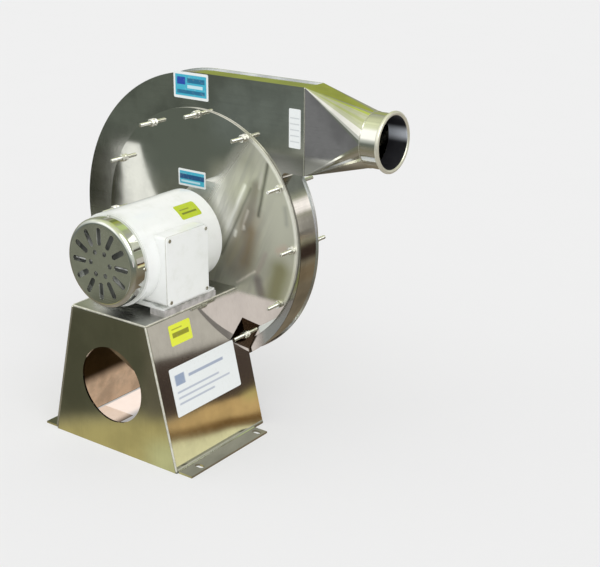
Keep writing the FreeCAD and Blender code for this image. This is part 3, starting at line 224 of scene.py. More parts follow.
PATCHES = [
    # Compass, height, half width, half height, softness, colour, and for some the fall in height
    # per degree of compass.
    # Mirrored by faces that look forwards: casing, drive plate and pedestal.
    (138, -11.5, 9, 3.4, 1, (85, 91, 83)),
    (133.6, -14.6, 2.4, 1.8, 0.8, (50, 51, 42)),
    (143.5, -11.6, 3.4, 1.4, 0.8, (96, 103, 98)),
    (144.9, -13.7, 0.8, 0.7, 0.6, (146, 149, 141)),
    (142.3, -16.2, 2.3, 2, 0.8, (172, 172, 155)),
    (141.8, -17.2, 0.4, 0.9, 0.4, (128, 125, 115)),
    (142.5, -19.6, 2.6, 1.4, 0.8, (148, 140, 120)),
    (141.6, -22.2, 2.2, 1.2, 0.7, (208, 206, 206)),
    (134.2, -18.8, 2.8, 2.2, 0.8, (112, 114, 100)),
    (134, -23.2, 4.5, 2.7, 0.5, (73, 73, 57)),
    (134.5, -27.6, 5, 1.6, 0.5, (164, 154, 102)),
    (137.2, -28.2, 1, 0.9, 0.6, (180, 181, 134)),
    (127, -12, 3.2, 2.6, 0.8, (110, 111, 114)),
    (127.5, -16.8, 3.5, 1.6, 0.8, (146, 144, 132)),
    (137.8, -23.6, 1.7, 2.6, 0.5, (92, 88, 72)),
    # Mirrored by the drive plate and the pedestal's side in each other.
    (-137, -4, 8, 5, 1.5, (226, 218, 219)),
    # Mirrored by the slanted faces of the outlet.
    (149, 26, 17, 17, 5, (255, 255, 250)),
    (-21, 41, 6, 4.5, 2, (160, 161, 150)),
    # Mirrored by faces that look up.
    (25, 32, 12, 11, 4, (150, 158, 74)),
    (27, 60, 16, 9, 5, (184, 198, 98)),
    (119, 77, 22, 7, 4, (193, 205, 131)),
    (7, 47, 9, 7, 4, (182, 199, 132)),
    (45, 14, 6, 5, 3, (134, 144, 106)),
    # Mirrored by the pedestal's right side.
    (-46, 0.2, 7, 4.85, 0.10, (178, 174, 166), 0.10),
    (-46, -6.07, 7, 1.43, 0.06, (66, 56, 50), 0.10),
    (-46, -8.30, 7, 0.86, 0.06, (188, 158, 106), 0.02),
    (-43.8, -7.65, 0.7, 0.22, 0.25, (178, 164, 104), 0.02),
    (-46, -10.4, 7, 1.75, 0.06, (212, 208, 164), 0.15),
    (-46, -8.55, 7, 0.27, 0.06, (96, 66, 30), 0.15),
    # Mirrored by the rim of the scroll and the outlet's side.
    (-46, 24.5, 5, 6, 2, (222, 224, 210)),
    (-32, 24, 8, 9, 3, (106, 110, 104)),
    (-36.5, 8.5, 5, 3.4, 1.5, (252, 246, 243)),
    (-34, -4, 4.5, 6, 2, (122, 118, 116)),
    (-34, -17, 7, 4.5, 2.5, (48, 37, 32)),
    (-30, -28, 9, 4, 2.5, (108, 95, 75)),
    # Mirrored by edges and narrow faces seen at a slant: foot flanges, pedestal's top, duct's top.
    (33, -13.5, 4, 4, 2, (56, 52, 33)),
    (33, 35.5, 4, 3, 2, (112, 120, 75)),
    (39.8, 27.6, 3.6, 2.2, 0.8, (134, 132, 114)),
    (48.7, 26, 3, 2, 1, (88, 90, 70)),
    (43.5, 20.9, 5, 1.8, 0.5, (168, 167, 158)),
    (46.6, 20.7, 0.7, 1.4, 0.3, (139, 143, 129)),
    (45, 21.1, 0.7, 1.4, 0.3, (84, 88, 78)),
    (42.6, 21.2, 0.6, 1.4, 0.4, (210, 209, 200)),
    (37.3, 10, 6.5, 5, 2, (138, 146, 76)),
]
# The tapered bright strip seen in the upper left of the drive plate.
STRIP = {"compass": 136.15, "height": -14.6, "half_height": 1.65, "half_width": 0.68, "taper": 0.30,
         "lean": 0.13, "side_softness": 0.06, "end_softness": 0.08, "colour": display(228, 230, 225)}
BLOTCH = display(70, 70, 60)
BLOTCH_SHARE = 0.22
COMPASS_WANDER = 1.6
HEIGHT_WANDER = 0.3
MIRROR_STRENGTH = 1.38
SKY_LIGHT = (1.0, 1.0, 1.0, 1.0)
SKY_STRENGTH = 0.73
BACKDROP_STRENGTH = 0.83


def height_ramp(graph, level, levels):
    """Colours by height, from heights given in degrees."""
    return graph.ramp(level, [((height + 90) / 180, display(*colour)) for height, colour in levels])


def inside(graph, distance, half, softness):
    """One within half of a middle, falling to zero across the softness."""
    return graph.smooth(graph.math("ABSOLUTE", distance), half + softness, half - softness)


def workshop_colour(graph, heading, compass, height, far_share):
    """The sky's two sides by height, blotched, with every patch laid over them."""
    level = graph.plus(graph.times(height, 1 / 180), 0.5)
    colour = graph.mix(far_share, height_ramp(graph, level, NEAR_SIDE), height_ramp(graph, level, FAR_SIDE))
    blotches = graph.smooth(graph.noise(heading, 7.0, 4.0, 0.6), 0.35, 0.7)
    colour = graph.mix(graph.times(blotches, BLOTCH_SHARE), colour, BLOTCH)
    for place, rise, half_width, half_height, softness, tint, *falls in PATCHES:
        across = graph.minus(compass, place)
        upward = graph.minus(height, rise)
        for fall in falls:
            upward = graph.plus(upward, graph.times(across, fall))
        share = graph.times(inside(graph, across, half_width, softness),
                            inside(graph, upward, half_height, softness))
        colour = graph.mix(share, colour, display(*tint))
    return colour


def strip_share(graph, compass, height):
    """One on the bright strip, which leans and narrows upwards."""
    upward = graph.minus(height, STRIP["height"])
    middle = graph.times(upward, -STRIP["lean"])
    across = graph.minus(graph.minus(compass, STRIP["compass"]), middle)
    narrowing = graph.plus(graph.times(upward, STRIP["taper"] / STRIP["half_height"]), 1.0)
    across = graph.times(across, narrowing)
    return graph.times(inside(graph, across, STRIP["half_width"], STRIP["side_softness"]),
                       inside(graph, upward, STRIP["half_height"], STRIP["end_softness"]))


def add_surroundings():
    """A workshop for bright metal to mirror, an even sky for all other light, and a plain backdrop."""
    world = bpy.data.worlds.new("studio")
    bpy.context.scene.world = world
    world.use_nodes = True
    world.cycles.sampling_method = "NONE"
    world.node_tree.nodes.clear()
    graph = Graph(world.node_tree)
    heading = graph.add("ShaderNodeTexCoord").outputs["Generated"]
    x, y, z = graph.parts(heading)[0:3]
    height = graph.times(graph.math("ARCSINE", z), 180 / math.pi)
    compass = graph.times(graph.math("ARCTAN2", graph.times(x, -1.0), y), 180 / math.pi)
    wander = graph.minus(graph.noise(heading, 14.0, 3.0), 0.5)
    colour = workshop_colour(graph, heading,
                             graph.plus(compass, graph.times(wander, COMPASS_WANDER)),
                             graph.plus(height, graph.times(wander, HEIGHT_WANDER)),
                             graph.smooth(y, -0.35, 0.35))
    colour = graph.mix(strip_share(graph, compass, height), colour, STRIP["colour"])
    mirrored = graph.add("ShaderNodeBackground", {"Color": colour, "Strength": MIRROR_STRENGTH})
    sky = graph.add("ShaderNodeBackground", {"Color": SKY_LIGHT, "Strength": SKY_STRENGTH})
    backdrop = graph.add("ShaderNodeBackground", {"Color": SKY_LIGHT, "Strength": BACKDROP_STRENGTH})
    path = graph.add("ShaderNodeLightPath")
    unseen = graph.add("ShaderNodeMixShader", {
        0: path.outputs["Is Glossy Ray"], 1: sky.outputs[0], 2: mirrored.outputs[0]})
    all_rays = graph.add("ShaderNodeMixShader", {
        0: path.outputs["Is Camera Ray"], 1: unseen.outputs[0], 2: backdrop.outputs[0]})
    out = graph.add("ShaderNodeOutputWorld")
    graph.feed(out.inputs["Surface"], all_rays.outputs[0])


def add_soft_sun(name, place, spread, strength, mirrored):
    """Wide, even light from the direction of a place, which bright metal may mirror or not."""
    data = bpy.data.lights.new(name, "SUN")
    data.angle = math.radians(spread)
    data.energy = strength
    light = add_object(name, data)
    light.matrix_world = Vector(place).to_track_quat("Z", "Y").to_matrix().to_4x4()
    light.visible_glossy = mirrored


# Floor, in metres. Its glow stands for light that a bright studio throws on it.
FLOOR_REACH = 60.0
FLOOR_ROUGHNESS = 0.9
FLOOR_SHADE = 0.45
FLOOR_GLOW = 0.50

# Floor inside the pedestal, which glows: a painted pool of light between the two places of BAY_LIGHT,
# with painted shade past them. What the window shows of it ends at WINDOW_FLOOR_END.
BAY_GLOW = 0.72
BAY_LIGHT = (-88 * MM, -125 * MM)
BAY_MARGIN = 6 * MM
BAY_RISE = 0.4 * MM
WINDOW_FLOOR_END = -95 * MM


def stage_sheet(name, across, along, height=0.0):
    """A rectangle of floor, which isn't part of the object, and its material to fill in."""
    mesh = bpy.data.meshes.new(name)
    corners = [(across[i], along[j], height) for i, j in ((0, 0), (1, 0), (1, 1), (0, 1))]
    mesh.from_pydata(corners, [], [(0, 1, 2, 3)])
    sheet = add_object(name, mesh)
    material, graph, shader, place = new_material(name)
    mesh.materials.append(material)
    graph.feed(shader.inputs["Roughness"], FLOOR_ROUGHNESS)
    return sheet, graph, shader, place


def add_floor():
    """Even white floor that bright metal doesn't mirror, and the floor inside the pedestal."""
    reach = (-FLOOR_REACH, FLOOR_REACH)
    floor, graph, shader, place = stage_sheet("studio_floor", reach, reach)
    floor.visible_glossy = False
    tone = graph.mix(graph.noise(place, 3.0, 3.0), display(231, 231, 231), display(232, 232, 232))
    graph.fill(shader, {
        "Base Color": graph.mix(FLOOR_SHADE, tone, (0.0, 0.0, 0.0, 1.0)), "Emission Color": tone,
        "Emission Strength": FLOOR_GLOW, "Specular IOR Level": 0.0})
    side = rear_high.x - BAY_MARGIN
    add_bay_floor("window_floor", (-side, WINDOW_FLOOR_END), (rear_high.y, 0.0), True)
    add_bay_floor("bay_floor", (WINDOW_FLOOR_END, side), (rear_high.y, 0.0), False)
    add_bay_floor("front_bay_floor", (-side, side), (0.0, top_high.y), False)


def add_bay_floor(name, across, along, seen):
    """Part of the floor inside the pedestal, glowing with painted warm light and painted shade, seen by the
    camera or not.
    """
    patch, graph, shader, place = stage_sheet(name, across, along, BAY_RISE)
    patch.visible_camera = seen
    # Painted warm light, given out as glow.
    tone = graph.mix(graph.noise(place, 30.0, 4.0, 0.6), display(226, 200, 178), display(244, 224, 208))
    lit = graph.smooth(graph.parts(place)[0], *BAY_LIGHT)
    # Painted shade: dark brown where the painted pool of light ends.
    tone = graph.mix(lit, display(46, 32, 12), tone)
    graph.fill(shader, {"Base Color": tone, "Emission Color": tone, "Emission Strength": BAY_GLOW})


def reopened(material):
    """A material's graph, its main shader and the object's own coordinates."""
    graph = Graph(material.node_tree)
    place = graph.add("ShaderNodeTexCoord").outputs["Object"]
    return graph, material.node_tree.nodes["Principled BSDF"], place


def new_material(name):
    """A named material, and what reopened gives for it."""
    material = bpy.data.materials.new(name)
    material.use_nodes = True
    return material, *reopened(material)


def dress(graph, shader, colour, roughness, normal, metallic=0.0):
    """Gives the shader what every finish has."""
    graph.fill(shader, {"Base Color": colour, "Roughness": roughness, "Normal": normal, "Metallic": metallic})


def source_of(shader, name):
    """What feeds a socket of the shader so far."""
    return shader.inputs[name].links[0].from_socket


def recolour(graph, shader, share, colour):
    """Lays a colour over the shader's own where the share is one."""
    graph.fill(shader, {"Base Color": graph.mix(share, source_of(shader, "Base Color"), colour)})


def roughen(graph, shader, share, amount):
    """Adds roughness where the share is one."""
    more = graph.times(share, amount)
    graph.fill(shader, {"Roughness": graph.plus(source_of(shader, "Roughness"), more)})


# Colour of the polished steel, and how fine its grain is along X, Y and Z when brushed along one.
STEEL = (0.74, 0.73, 0.69, 1.0)
ALONG_Z = (300.0, 300.0, 6.0)
ALONG_Y = (300.0, 6.0, 300.0)
ALONG_X = (6.0, 300.0, 300.0)


def steel(name, tint, roughness, brush, wave=0.0, mottle=0.25, scratch=0.05):
    """Polished sheet steel: brushed along its longest grain, softly stained and slightly wavy."""
    material, graph, shader, place = new_material(name)
    grain = graph.noise(graph.vector("MULTIPLY", place, brush), 1.0, 4.0, 0.6)
    stains = graph.noise(place, 11.0, 3.0, 0.55)
    clouds = graph.noise(place, 3.2, 2.0)
    dull = darker(tint, 1 - mottle)
    colour = graph.mix(graph.smooth(stains, 0.35, 0.7), tint, dull)
    colour = graph.mix(graph.times(graph.smooth(grain, 0.45, 0.75), 0.35), colour, dull)
    rough = graph.plus(graph.times(grain, roughness * 0.5), graph.times(clouds, roughness))
    fine = graph.bump(grain, scratch, 0.0003)
    wavy = graph.bump(clouds, 1.0, wave, fine) if wave else fine
    dress(graph, shader, colour, graph.plus(rough, roughness * 0.25), wavy, 1.0)
    return material


def outward_distance(graph, place):
    """Distance from the middle of the pedestal, square to its sloping sides."""
    across, _, above = graph.parts(place)[0:3]
    return graph.plus(graph.times(graph.math("ABSOLUTE", across), SIDE_NORMAL.x),
                      graph.times(above, SIDE_NORMAL.z))


def inside_pedestal(graph, place):
    """One where a place lies within the outer skin of the pedestal's sides."""
    return graph.math("LESS_THAN", outward_distance(graph, place), SIDE_REACH - PEDESTAL_SHEET / 2)


def pedestal_steel(name, inner_shade_tint):
    """Polished sheet folded into the pedestal, its inner faces tinted darker as painted shade inside the
    pedestal and broken by grime.
    """
    material = steel(name, STEEL, 0.045, ALONG_Z, wave=0.0003, mottle=0.15, scratch=0.008)
    graph, shader, place = reopened(material)
    behind_rear = graph.math("GREATER_THAN", graph.parts(place)[1], REAR_FACE + PEDESTAL_SHEET / 2)
    grime = graph.noise(place, 14.0, 4.0, 0.6)
    # Painted shade on the inner faces, with random grime.
    painted_shade_and_grime = graph.mix(graph.smooth(grime, 0.4, 0.7), inner_shade_tint, darker(inner_shade_tint, 0.7))
    recolour(graph, shader, graph.times(inside_pedestal(graph, place), behind_rear), painted_shade_and_grime)
    return material


# Painted shadow and dark reflection of the fan cover on the pedestal's top: its middle and reach across, and
# where it ends.
PAINTED_COVER_SHADE = (20 * MM, 45 * MM, 30 * MM)
PAINTED_COVER_SHADE_END = (-112 * MM, -135 * MM)


def pedestal_top_steel(name, tint):
    """Satin sheet under the motor, with the fan cover's shadow and dark reflection painted on it."""
    material = steel(name, tint, 0.34, ALONG_X, wave=0.0003)
    graph, shader, place = reopened(material)
    across, along = graph.parts(place)[0:2]
    middle, half, softness = PAINTED_COVER_SHADE
    under_cover = inside(graph, graph.minus(across, middle), half, softness)
    dark = graph.times(under_cover, graph.smooth(along, *PAINTED_COVER_SHADE_END))
    # Painted shadow and reflection of the fan cover.
    recolour(graph, shader, dark, darker(tint, 0.30))
    return material


def rings_about_axis(graph, place):
    """Parts of a place seen from the shaft: across, above, distance from the shaft, and heading."""
    spread = graph.vector("SUBTRACT", place, tuple(AXIS))
    across, _, above = graph.parts(spread)[0:3]
    flat = graph.vector("MULTIPLY", spread, (1.0, 0.0, 1.0))
    return across, above, graph.vector("LENGTH", flat), graph.vector("NORMALIZE", flat)


def ring_noise(graph, radius):
    """Fine unevenness that depends on the distance from the shaft alone."""
    return graph.noise(graph.join(graph.times(radius, 900.0), 0.0, 0.0), 1.0, 3.0)


def grain_in_rings(graph, shader, anisotropic):
    """Reflections drawn out as on metal finished in rings about the shaft."""
    tangent = graph.add("ShaderNodeTangent", direction_type="RADIAL", axis="Y").outputs[0]
    graph.fill(shader, {"Anisotropic": anisotropic, "Anisotropic Rotation": 0.25, "Tangent": tangent})


def spun_steel(name, tint, roughness, wave):
    """Steel disc finished in rings about the shaft, with lighter and darker wedges."""
    material, graph, shader, place = new_material(name)
    _, _, radius, heading = rings_about_axis(graph, place)
    rings = ring_noise(graph, radius)
    wedges = graph.noise(heading, 3.1, 4.0, 0.65)
    stains = graph.noise(place, 9.0, 3.0)
    clouds = graph.noise(place, 4.0, 2.0)
    dull = darker(tint, 0.86)
    colour = graph.mix(graph.smooth(wedges, 0.35, 0.7), dull, tint)
    colour = graph.mix(graph.times(graph.smooth(stains, 0.5, 0.75), 0.3), colour, dull)
    fine = graph.bump(rings, 0.05, 0.0002)
    rough = graph.times(graph.plus(wedges, rings), roughness)
    dress(graph, shader, colour, rough, graph.bump(clouds, 1.0, wave, fine), 1.0)
    grain_in_rings(graph, shader, 0.5)
    return material


# Painted reflection of the motor on the casing: heights above the floor, and places across, in metres.
PAINTED_MOTOR_REFLECTION_TOP = (0.724, 0.700)
PAINTED_MOTOR_REFLECTION_START = (0.165, 0.215)


def casing_steel(name):
    """Casing sheet, rougher and painted darker along the duct's lower edge as a painted reflection of the
    motor.
    """
    material = steel(name, STEEL, 0.07, ALONG_X, wave=0.0005, scratch=0.03)
    graph, shader, place = reopened(material)
    across, _, above = graph.parts(place)[0:3]
    dull = graph.times(graph.smooth(above, *PAINTED_MOTOR_REFLECTION_TOP), graph.smooth(across, *PAINTED_MOTOR_REFLECTION_START))
    # Painted reflection of the motor: darker, and rougher too.
    recolour(graph, shader, dull, darker(STEEL, 0.40))
    roughen(graph, shader, dull, 0.16)
    return material


def collar_steel(name, tint):
    """Outlet collar: polished outside; inside painted dark as painted shade with a painted bluish highlight
    band, and its bead painted pale as a painted highlight.
    """
    material = steel(name, tint, 0.10, ALONG_X, wave=0.0002, mottle=0.1)
    graph, shader, place = reopened(material)
    spread = graph.vector("SUBTRACT", place, tuple(COLLAR_MIDDLE))
    radius = graph.vector("LENGTH", graph.vector("MULTIPLY", spread, (0.0, 1.0, 1.0)))
    inside_wall = graph.math("LESS_THAN", radius, COLLAR_BORE + 0.5 * MM)
    bead = graph.smooth(graph.parts(place)[0], collar_high.x - 11 * MM, collar_high.x - 9 * MM)
    cloudy = graph.noise(place, 30.0, 4.0, 0.6)
    _, far, rise = graph.parts(spread)[0:3]
    lit = inside(graph, graph.minus(rise, COLLAR_BORE * 0.15), 12 * MM, 10 * MM)
    lit = graph.times(lit, graph.smooth(far, 0.0, 10 * MM))
    # Painted shade inside the bore, with a painted bluish highlight band where lit is one.
    painted_bore_light_and_shade = graph.mix(cloudy, display(30, 30, 34), display(62, 62, 66))
    painted_bore_light_and_shade = graph.mix(lit, painted_bore_light_and_shade, graph.mix(cloudy, display(226, 234, 246), display(246, 250, 255)))
    # Painted highlight on the bead.
    painted_bead_highlight = graph.mix(cloudy, display(248, 246, 234), display(226, 223, 208))
    recolour(graph, shader, bead, painted_bead_highlight)
    recolour(graph, shader, inside_wall, painted_bore_light_and_shade)
    satin = graph.math("MAXIMUM", inside_wall, bead)
    scatter = graph.plus(graph.times(inside_wall, 0.45), graph.times(satin, 0.35))
    graph.fill(shader, {"Metallic": graph.minus(1.0, scatter)})
    roughen(graph, shader, satin, 0.2)
    return material


# The drive plate is a mirror on its left; right of a slanted line it is hazy, with painted light and dark
# reflections in marks and streaks.
# Places on it are across and above the shaft: in metres, and in millimetres for its painted glow and
# reflection marks.
HAZE_START = (0.045, 0.110)
HAZE_SLOPE = 1.25
HAZE_EDGE = 0.045
HAZE_WAVER = 0.06
HAZE_BOTTOM = (-0.150, -0.132)
HAZE_ROUGHNESS = 0.34
# Painted dark streaks of reflection along one lean.
STREAK_LEAN = math.radians(64)
STREAKS_SIDEWAYS = 48.0
STREAKS_LENGTHWAYS = 7.0
# Painted highlight along the plate's rim, paler towards the top.
RIM_HIGHLIGHT_BAND = (0.294, 0.300)
RIM_HIGHLIGHT_COLOUR = (0.95, 0.94, 0.86, 1.0)
BAY_SHADE = (0.06, 0.05, 0.04, 1.0)
# Painted reflection colour of the hazy side, a painted highlight along PLATE_GLOW, and the painted light and
# dark reflections listed below.
PLATE_REFLECTION_BASE = (0.56, 0.56, 0.47, 1.0)
PLATE_GLOW = ((50, 110), (100, 20), 22, 36)
PLATE_REFLECTION_MARKS = [
    # Start, end, half width and softness in millimetres; share; tint.
    ((162, 192), (128, 205), 20, 30, 0.7, (0.40, 0.40, 0.31)),
    (*PLATE_GLOW, 1.0, (1.00, 1.00, 0.94)),
    ((160, 60), (122, -70), 34, 26, 0.8, (0.38, 0.34, 0.27)),
    ((182, 140), (150, 30), 14, 12, 0.9, (0.26, 0.24, 0.20)),
    ((199, 172), (194, 138), 4, 5, 0.9, (0.56, 0.54, 0.50)),
    ((157, 74), (138, 24), 3, 5, 0.9, (0.60, 0.56, 0.50)),
    ((148, 134), (91, 18), 4, 7, 1.0, (1.00, 1.00, 0.96)),
    ((166, 130), (74, -50), 3, 5, 0.9, (0.20, 0.20, 0.16)),
    ((218, 200), (189, 68), 4, 6, 1.0, (0.12, 0.12, 0.09)),
    ((164, 20), (150, -56), 18, 26, 0.9, (0.27, 0.21, 0.13)),
    ((125, -10), (96, -66), 13, 14, 0.9, (0.42, 0.39, 0.30)),
    ((209, -28), (182, -84), 6, 9, 0.9, (0.52, 0.46, 0.41)),
    ((186, -100), (198, -140), 13, 10, 0.9, (0.24, 0.21, 0.20)),
    ((254, -60), (232, -145), 26, 22, 0.9, (0.28, 0.27, 0.15)),
    ((250, -10), (268, 0), 8, 10, 0.7, (0.62, 0.50, 0.42)),
    ((268, 100), (272, 60), 4, 8, 0.7, (0.34, 0.35, 0.31)),
    ((122, -116), (176, -78), 2, 5, 1.0, (1.00, 0.94, 0.84)),
    ((117, 14), (115, 4), 4, 5, 1.0, (1.00, 1.00, 0.94)),
    ((145, 33), (144, 26), 3, 5, 0.9, (0.80, 0.78, 0.72)),
]


def stroke(graph, spot, start, end, half, softness):
    """One along a straight line on the plate, falling to zero across the softness."""
    start, end = Vector((*start, 0)) * MM, Vector((*end, 0)) * MM
    line = end - start
    from_start = graph.vector("SUBTRACT", spot, tuple(start))
    share = graph.vector("DOT_PRODUCT", from_start, tuple(line / line.length_squared))
    share = graph.math("MINIMUM", graph.math("MAXIMUM", share, 0.0), 1.0)
    nearest = graph.vector("MULTIPLY", graph.join(share, share, share), tuple(line))
    gap = graph.vector("LENGTH", graph.vector("SUBTRACT", from_start, nearest))
    return inside(graph, gap, half * MM, softness * MM)


def plate_haze(graph, place, across, above):
    """One on the hazy side of the slanted line."""
    waver = graph.minus(graph.noise(place, 8.0, 2.0), 0.5)
    slant = graph.times(graph.minus(across, HAZE_START[0]), HAZE_SLOPE)
    beyond = graph.minus(graph.minus(above, HAZE_START[1]), slant)
    beyond = graph.plus(beyond, graph.times(waver, HAZE_WAVER))
    return graph.times(graph.smooth(beyond, HAZE_EDGE, -HAZE_EDGE), graph.smooth(above, *HAZE_BOTTOM))


def painted_haze_reflections(graph, spot, across, above, radius):
    """Colour of the hazy side, all painted: light and dark reflection marks, fine dark reflection streaks
    along one lean, and a highlight on the rim.
    """
    colour = PLATE_REFLECTION_BASE
    for start, end, half, softness, share, mark in PLATE_REFLECTION_MARKS:
        marked = graph.times(stroke(graph, spot, start, end, half, softness), share)
        colour = graph.mix(marked, colour, (*mark, 1.0))
    sideways = Vector((math.sin(STREAK_LEAN), -math.cos(STREAK_LEAN), 0.0)) * STREAKS_SIDEWAYS
    lengthways = Vector((math.cos(STREAK_LEAN), math.sin(STREAK_LEAN), 0.0)) * STREAKS_LENGTHWAYS
    stretched = graph.join(graph.vector("DOT_PRODUCT", spot, tuple(sideways)),
                           graph.vector("DOT_PRODUCT", spot, tuple(lengthways)), 0.0)
    streaks = graph.smooth(graph.noise(stretched, 1.0, 3.0, 0.55), 0.60, 0.36)
    streaks = graph.times(streaks, graph.smooth(across, 0.27, 0.17))
    # Painted dark reflection streaks.
    colour = graph.mix(graph.times(streaks, 0.30), colour, darker(STEEL, 0.38))
    # Painted highlight on the rim.
    rim = graph.times(graph.smooth(radius, *RIM_HIGHLIGHT_BAND), graph.smooth(above, -0.14, 0.02, 0.35, 0.85))
    return graph.mix(rim, colour, RIM_HIGHLIGHT_COLOUR)


def drive_plate_steel(name, tint):
    """Polished disc, a mirror on its left and hazy on its right with painted light and dark reflections, and
    painted shade where it lies inside the pedestal.
    """
    material, graph, shader, place = new_material(name)
    across, above, radius, _ = rings_about_axis(graph, place)
    haze = plate_haze(graph, place, across, above)
    wobble = graph.times(graph.minus(graph.noise(place, 26.0, 3.0), 0.5), 10 * MM)
    spot = graph.join(graph.plus(across, wobble), graph.plus(above, wobble), 0.0)
    stains = graph.noise(place, 9.0, 4.0, 0.6)
    mirror = graph.mix(graph.smooth(stains, 0.45, 0.75), tint, darker(tint, 0.85))
    open_air = graph.mix(haze, mirror, painted_haze_reflections(graph, spot, across, above, radius))
    # Painted shade where the plate lies inside the pedestal.
    in_bay = graph.times(graph.math("LESS_THAN", above, top_low.z - AXIS.z), inside_pedestal(graph, place))
    # Less metal on the hazy side, least along the painted glow, so the painted reflections and highlight
    # show.
    scatter = graph.plus(0.42, graph.times(stroke(graph, spot, *PLATE_GLOW), 0.40))
    rough = graph.plus(graph.plus(0.015, graph.times(stains, 0.03)), graph.times(haze, HAZE_ROUGHNESS))
    fine = graph.bump(graph.times(ring_noise(graph, radius), haze), 0.04, 0.0002)
    wavy = graph.bump(graph.noise(place, 5.0, 2.0), 1.0, 0.0003, fine)
    dress(graph, shader, graph.mix(in_bay, open_air, BAY_SHADE), rough, wavy,
          graph.minus(1.0, graph.times(haze, scatter)))
    grain_in_rings(graph, shader, 0.3)
    return material


def fan_plastic(name, light, dark):
    """Moulded fan: dusty pale blades, and its disc in the dark colour as painted shade behind the cover's
    vents.
    """
    material, graph, shader, place = new_material(name)
    light, dark = display(*light), display(*dark)
    grain = graph.noise(place, 480.0, 3.0)
    dusty = graph.mix(graph.smooth(graph.noise(place, 40.0, 3.0), 0.4, 0.7), light, dark)
    on_blades = graph.smooth(graph.parts(place)[1], FAN_DISC_FRONT, FAN_DISC_FRONT - MM)
    rough = graph.plus(graph.times(grain, 0.2), 0.4)
    # The disc takes the dark colour as painted shade.
    dress(graph, shader, graph.mix(on_blades, dark, dusty), rough, graph.bump(grain, 0.2, 0.0002))
    return material


def paint(name, tint, shade):
    """Sprayed gloss enamel with orange peel and light dust."""
    material, graph, shader, place = new_material(name)
    dust = graph.noise(place, 24.0, 4.0, 0.6)
    dusty = graph.times(graph.smooth(dust, 0.45, 0.8), 0.5)
    peel = graph.bump(graph.noise(place, 420.0, 2.0), 0.12, 0.0003)
    rough = graph.plus(graph.times(dust, 0.15), 0.25)
    dress(graph, shader, graph.mix(dusty, display(*tint), display(*shade)), rough, peel)
    graph.fill(shader, {"Coat Weight": 0.6, "Coat Roughness": 0.08})
    return material


def dull_solid(name, tint, shade, roughness, metallic=0.0, scale=60.0):
    """Rubber, plastic, cast or plain machined surface with fine grain."""
    material, graph, shader, place = new_material(name)
    grain = graph.noise(place, scale * 8, 3.0)
    patches = graph.noise(place, scale, 3.0)
    colour = graph.mix(graph.smooth(patches, 0.3, 0.7), display(*tint), display(*shade))
    rough = graph.plus(graph.times(grain, 0.2), roughness)
    dress(graph, shader, colour, rough, graph.bump(grain, 0.2, 0.0002), metallic)
    return material


materials = {
    "drive_disc": drive_plate_steel("drive_disc", STEEL),
    "inlet_disc": spun_steel("inlet_disc", (0.90, 0.93, 1.0, 1.0), 0.26, 0.0010),
    "inlet_sheet": steel("inlet_sheet", (0.88, 0.91, 0.98, 1.0), 0.24, ALONG_X, wave=0.0006),
    "sheet": casing_steel("casing_sheet"),
    "wrapper": steel("wrapper_sheet", STEEL, 0.10, ALONG_Y, wave=0.0008),
    # The inner tints of the pedestal sheets are painted shade inside the pedestal.
    "pedestal": pedestal_steel("pedestal_sheet", (0.09, 0.075, 0.06, 1.0)),
    "pedestal_left": pedestal_steel("pedestal_left_sheet", (0.62, 0.54, 0.44, 1.0)),
    "pedestal_top": pedestal_top_steel("pedestal_top_sheet", (0.60, 0.60, 0.58, 1.0)),
    "polished_stainless": steel("polished_stainless", STEEL, 0.10, ALONG_Y, wave=0.0006),
    "bright_collar": collar_steel("bright_collar", (0.78, 0.77, 0.73, 1.0)),
    "polished_cover": steel("polished_cover", (0.80, 0.81, 0.78, 1.0), 0.06, ALONG_X, wave=0.0006,
                            mottle=0.2),
    "stainless_fasteners": steel("bright_fasteners", (0.88, 0.87, 0.84, 1.0), 0.22, ALONG_Y, mottle=0.1),
    "motor_paint": paint("white_enamel", (246, 248, 246), (224, 227, 219)),
    "mounting_bar": dull_solid("mounting_bar", (222, 218, 219), (186, 184, 182), 0.35, 0.4),
    "gasket": dull_solid("gasket_rubber", (196, 194, 182), (165, 162, 150), 0.6),
    "seal": dull_solid("seal_rubber", (28, 28, 28), (45, 44, 42), 0.5),
    "seal_ring": dull_solid("seal_ring", (205, 204, 198), (160, 158, 150), 0.3, 1.0),
    "wheel_steel": dull_solid("wheel_steel", (150, 150, 146), (120, 119, 112), 0.35, 1.0, 30.0),
    "shaft_steel": dull_solid("shaft_steel", (190, 188, 182), (150, 148, 140), 0.25, 1.0, 30.0),
    "bearing_steel": dull_solid("bearing_steel", (205, 205, 202), (170, 170, 166), 0.15, 1.0),
    "core_steel": dull_solid("core_steel", (120, 118, 112), (88, 86, 82), 0.45, 0.9),
    "windings": dull_solid("winding_varnish", (150, 84, 42), (105, 55, 26), 0.35, 0.3, 90.0),
    "fan_plastic": fan_plastic("fan_plastic", (238, 239, 235), (128, 130, 126)),
}
NODE_FINISH = {
    "drive_plate": "drive_disc", "inlet_plate": "inlet_disc",
    "casing_drive_sheet": "sheet", "casing_inlet_sheet": "inlet_sheet", "outlet_transition": "sheet",
    "scroll_wrapper": "wrapper",
    "pedestal_rear_plate": "pedestal", "pedestal_side_left": "pedestal_left",
    "pedestal_side_right": "pedestal", "pedestal_top_plate": "pedestal_top",
}


def finish_frame():
    """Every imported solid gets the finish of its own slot, or of the sheet it is cut from."""
    for name, piece in nodes.items():
        for place in piece.material_slots:
            place.material = materials[NODE_FINISH.get(name, place.material.name)]


MERGE_DISTANCE = 1e-6
SMOOTH_ANGLE = math.radians(35)


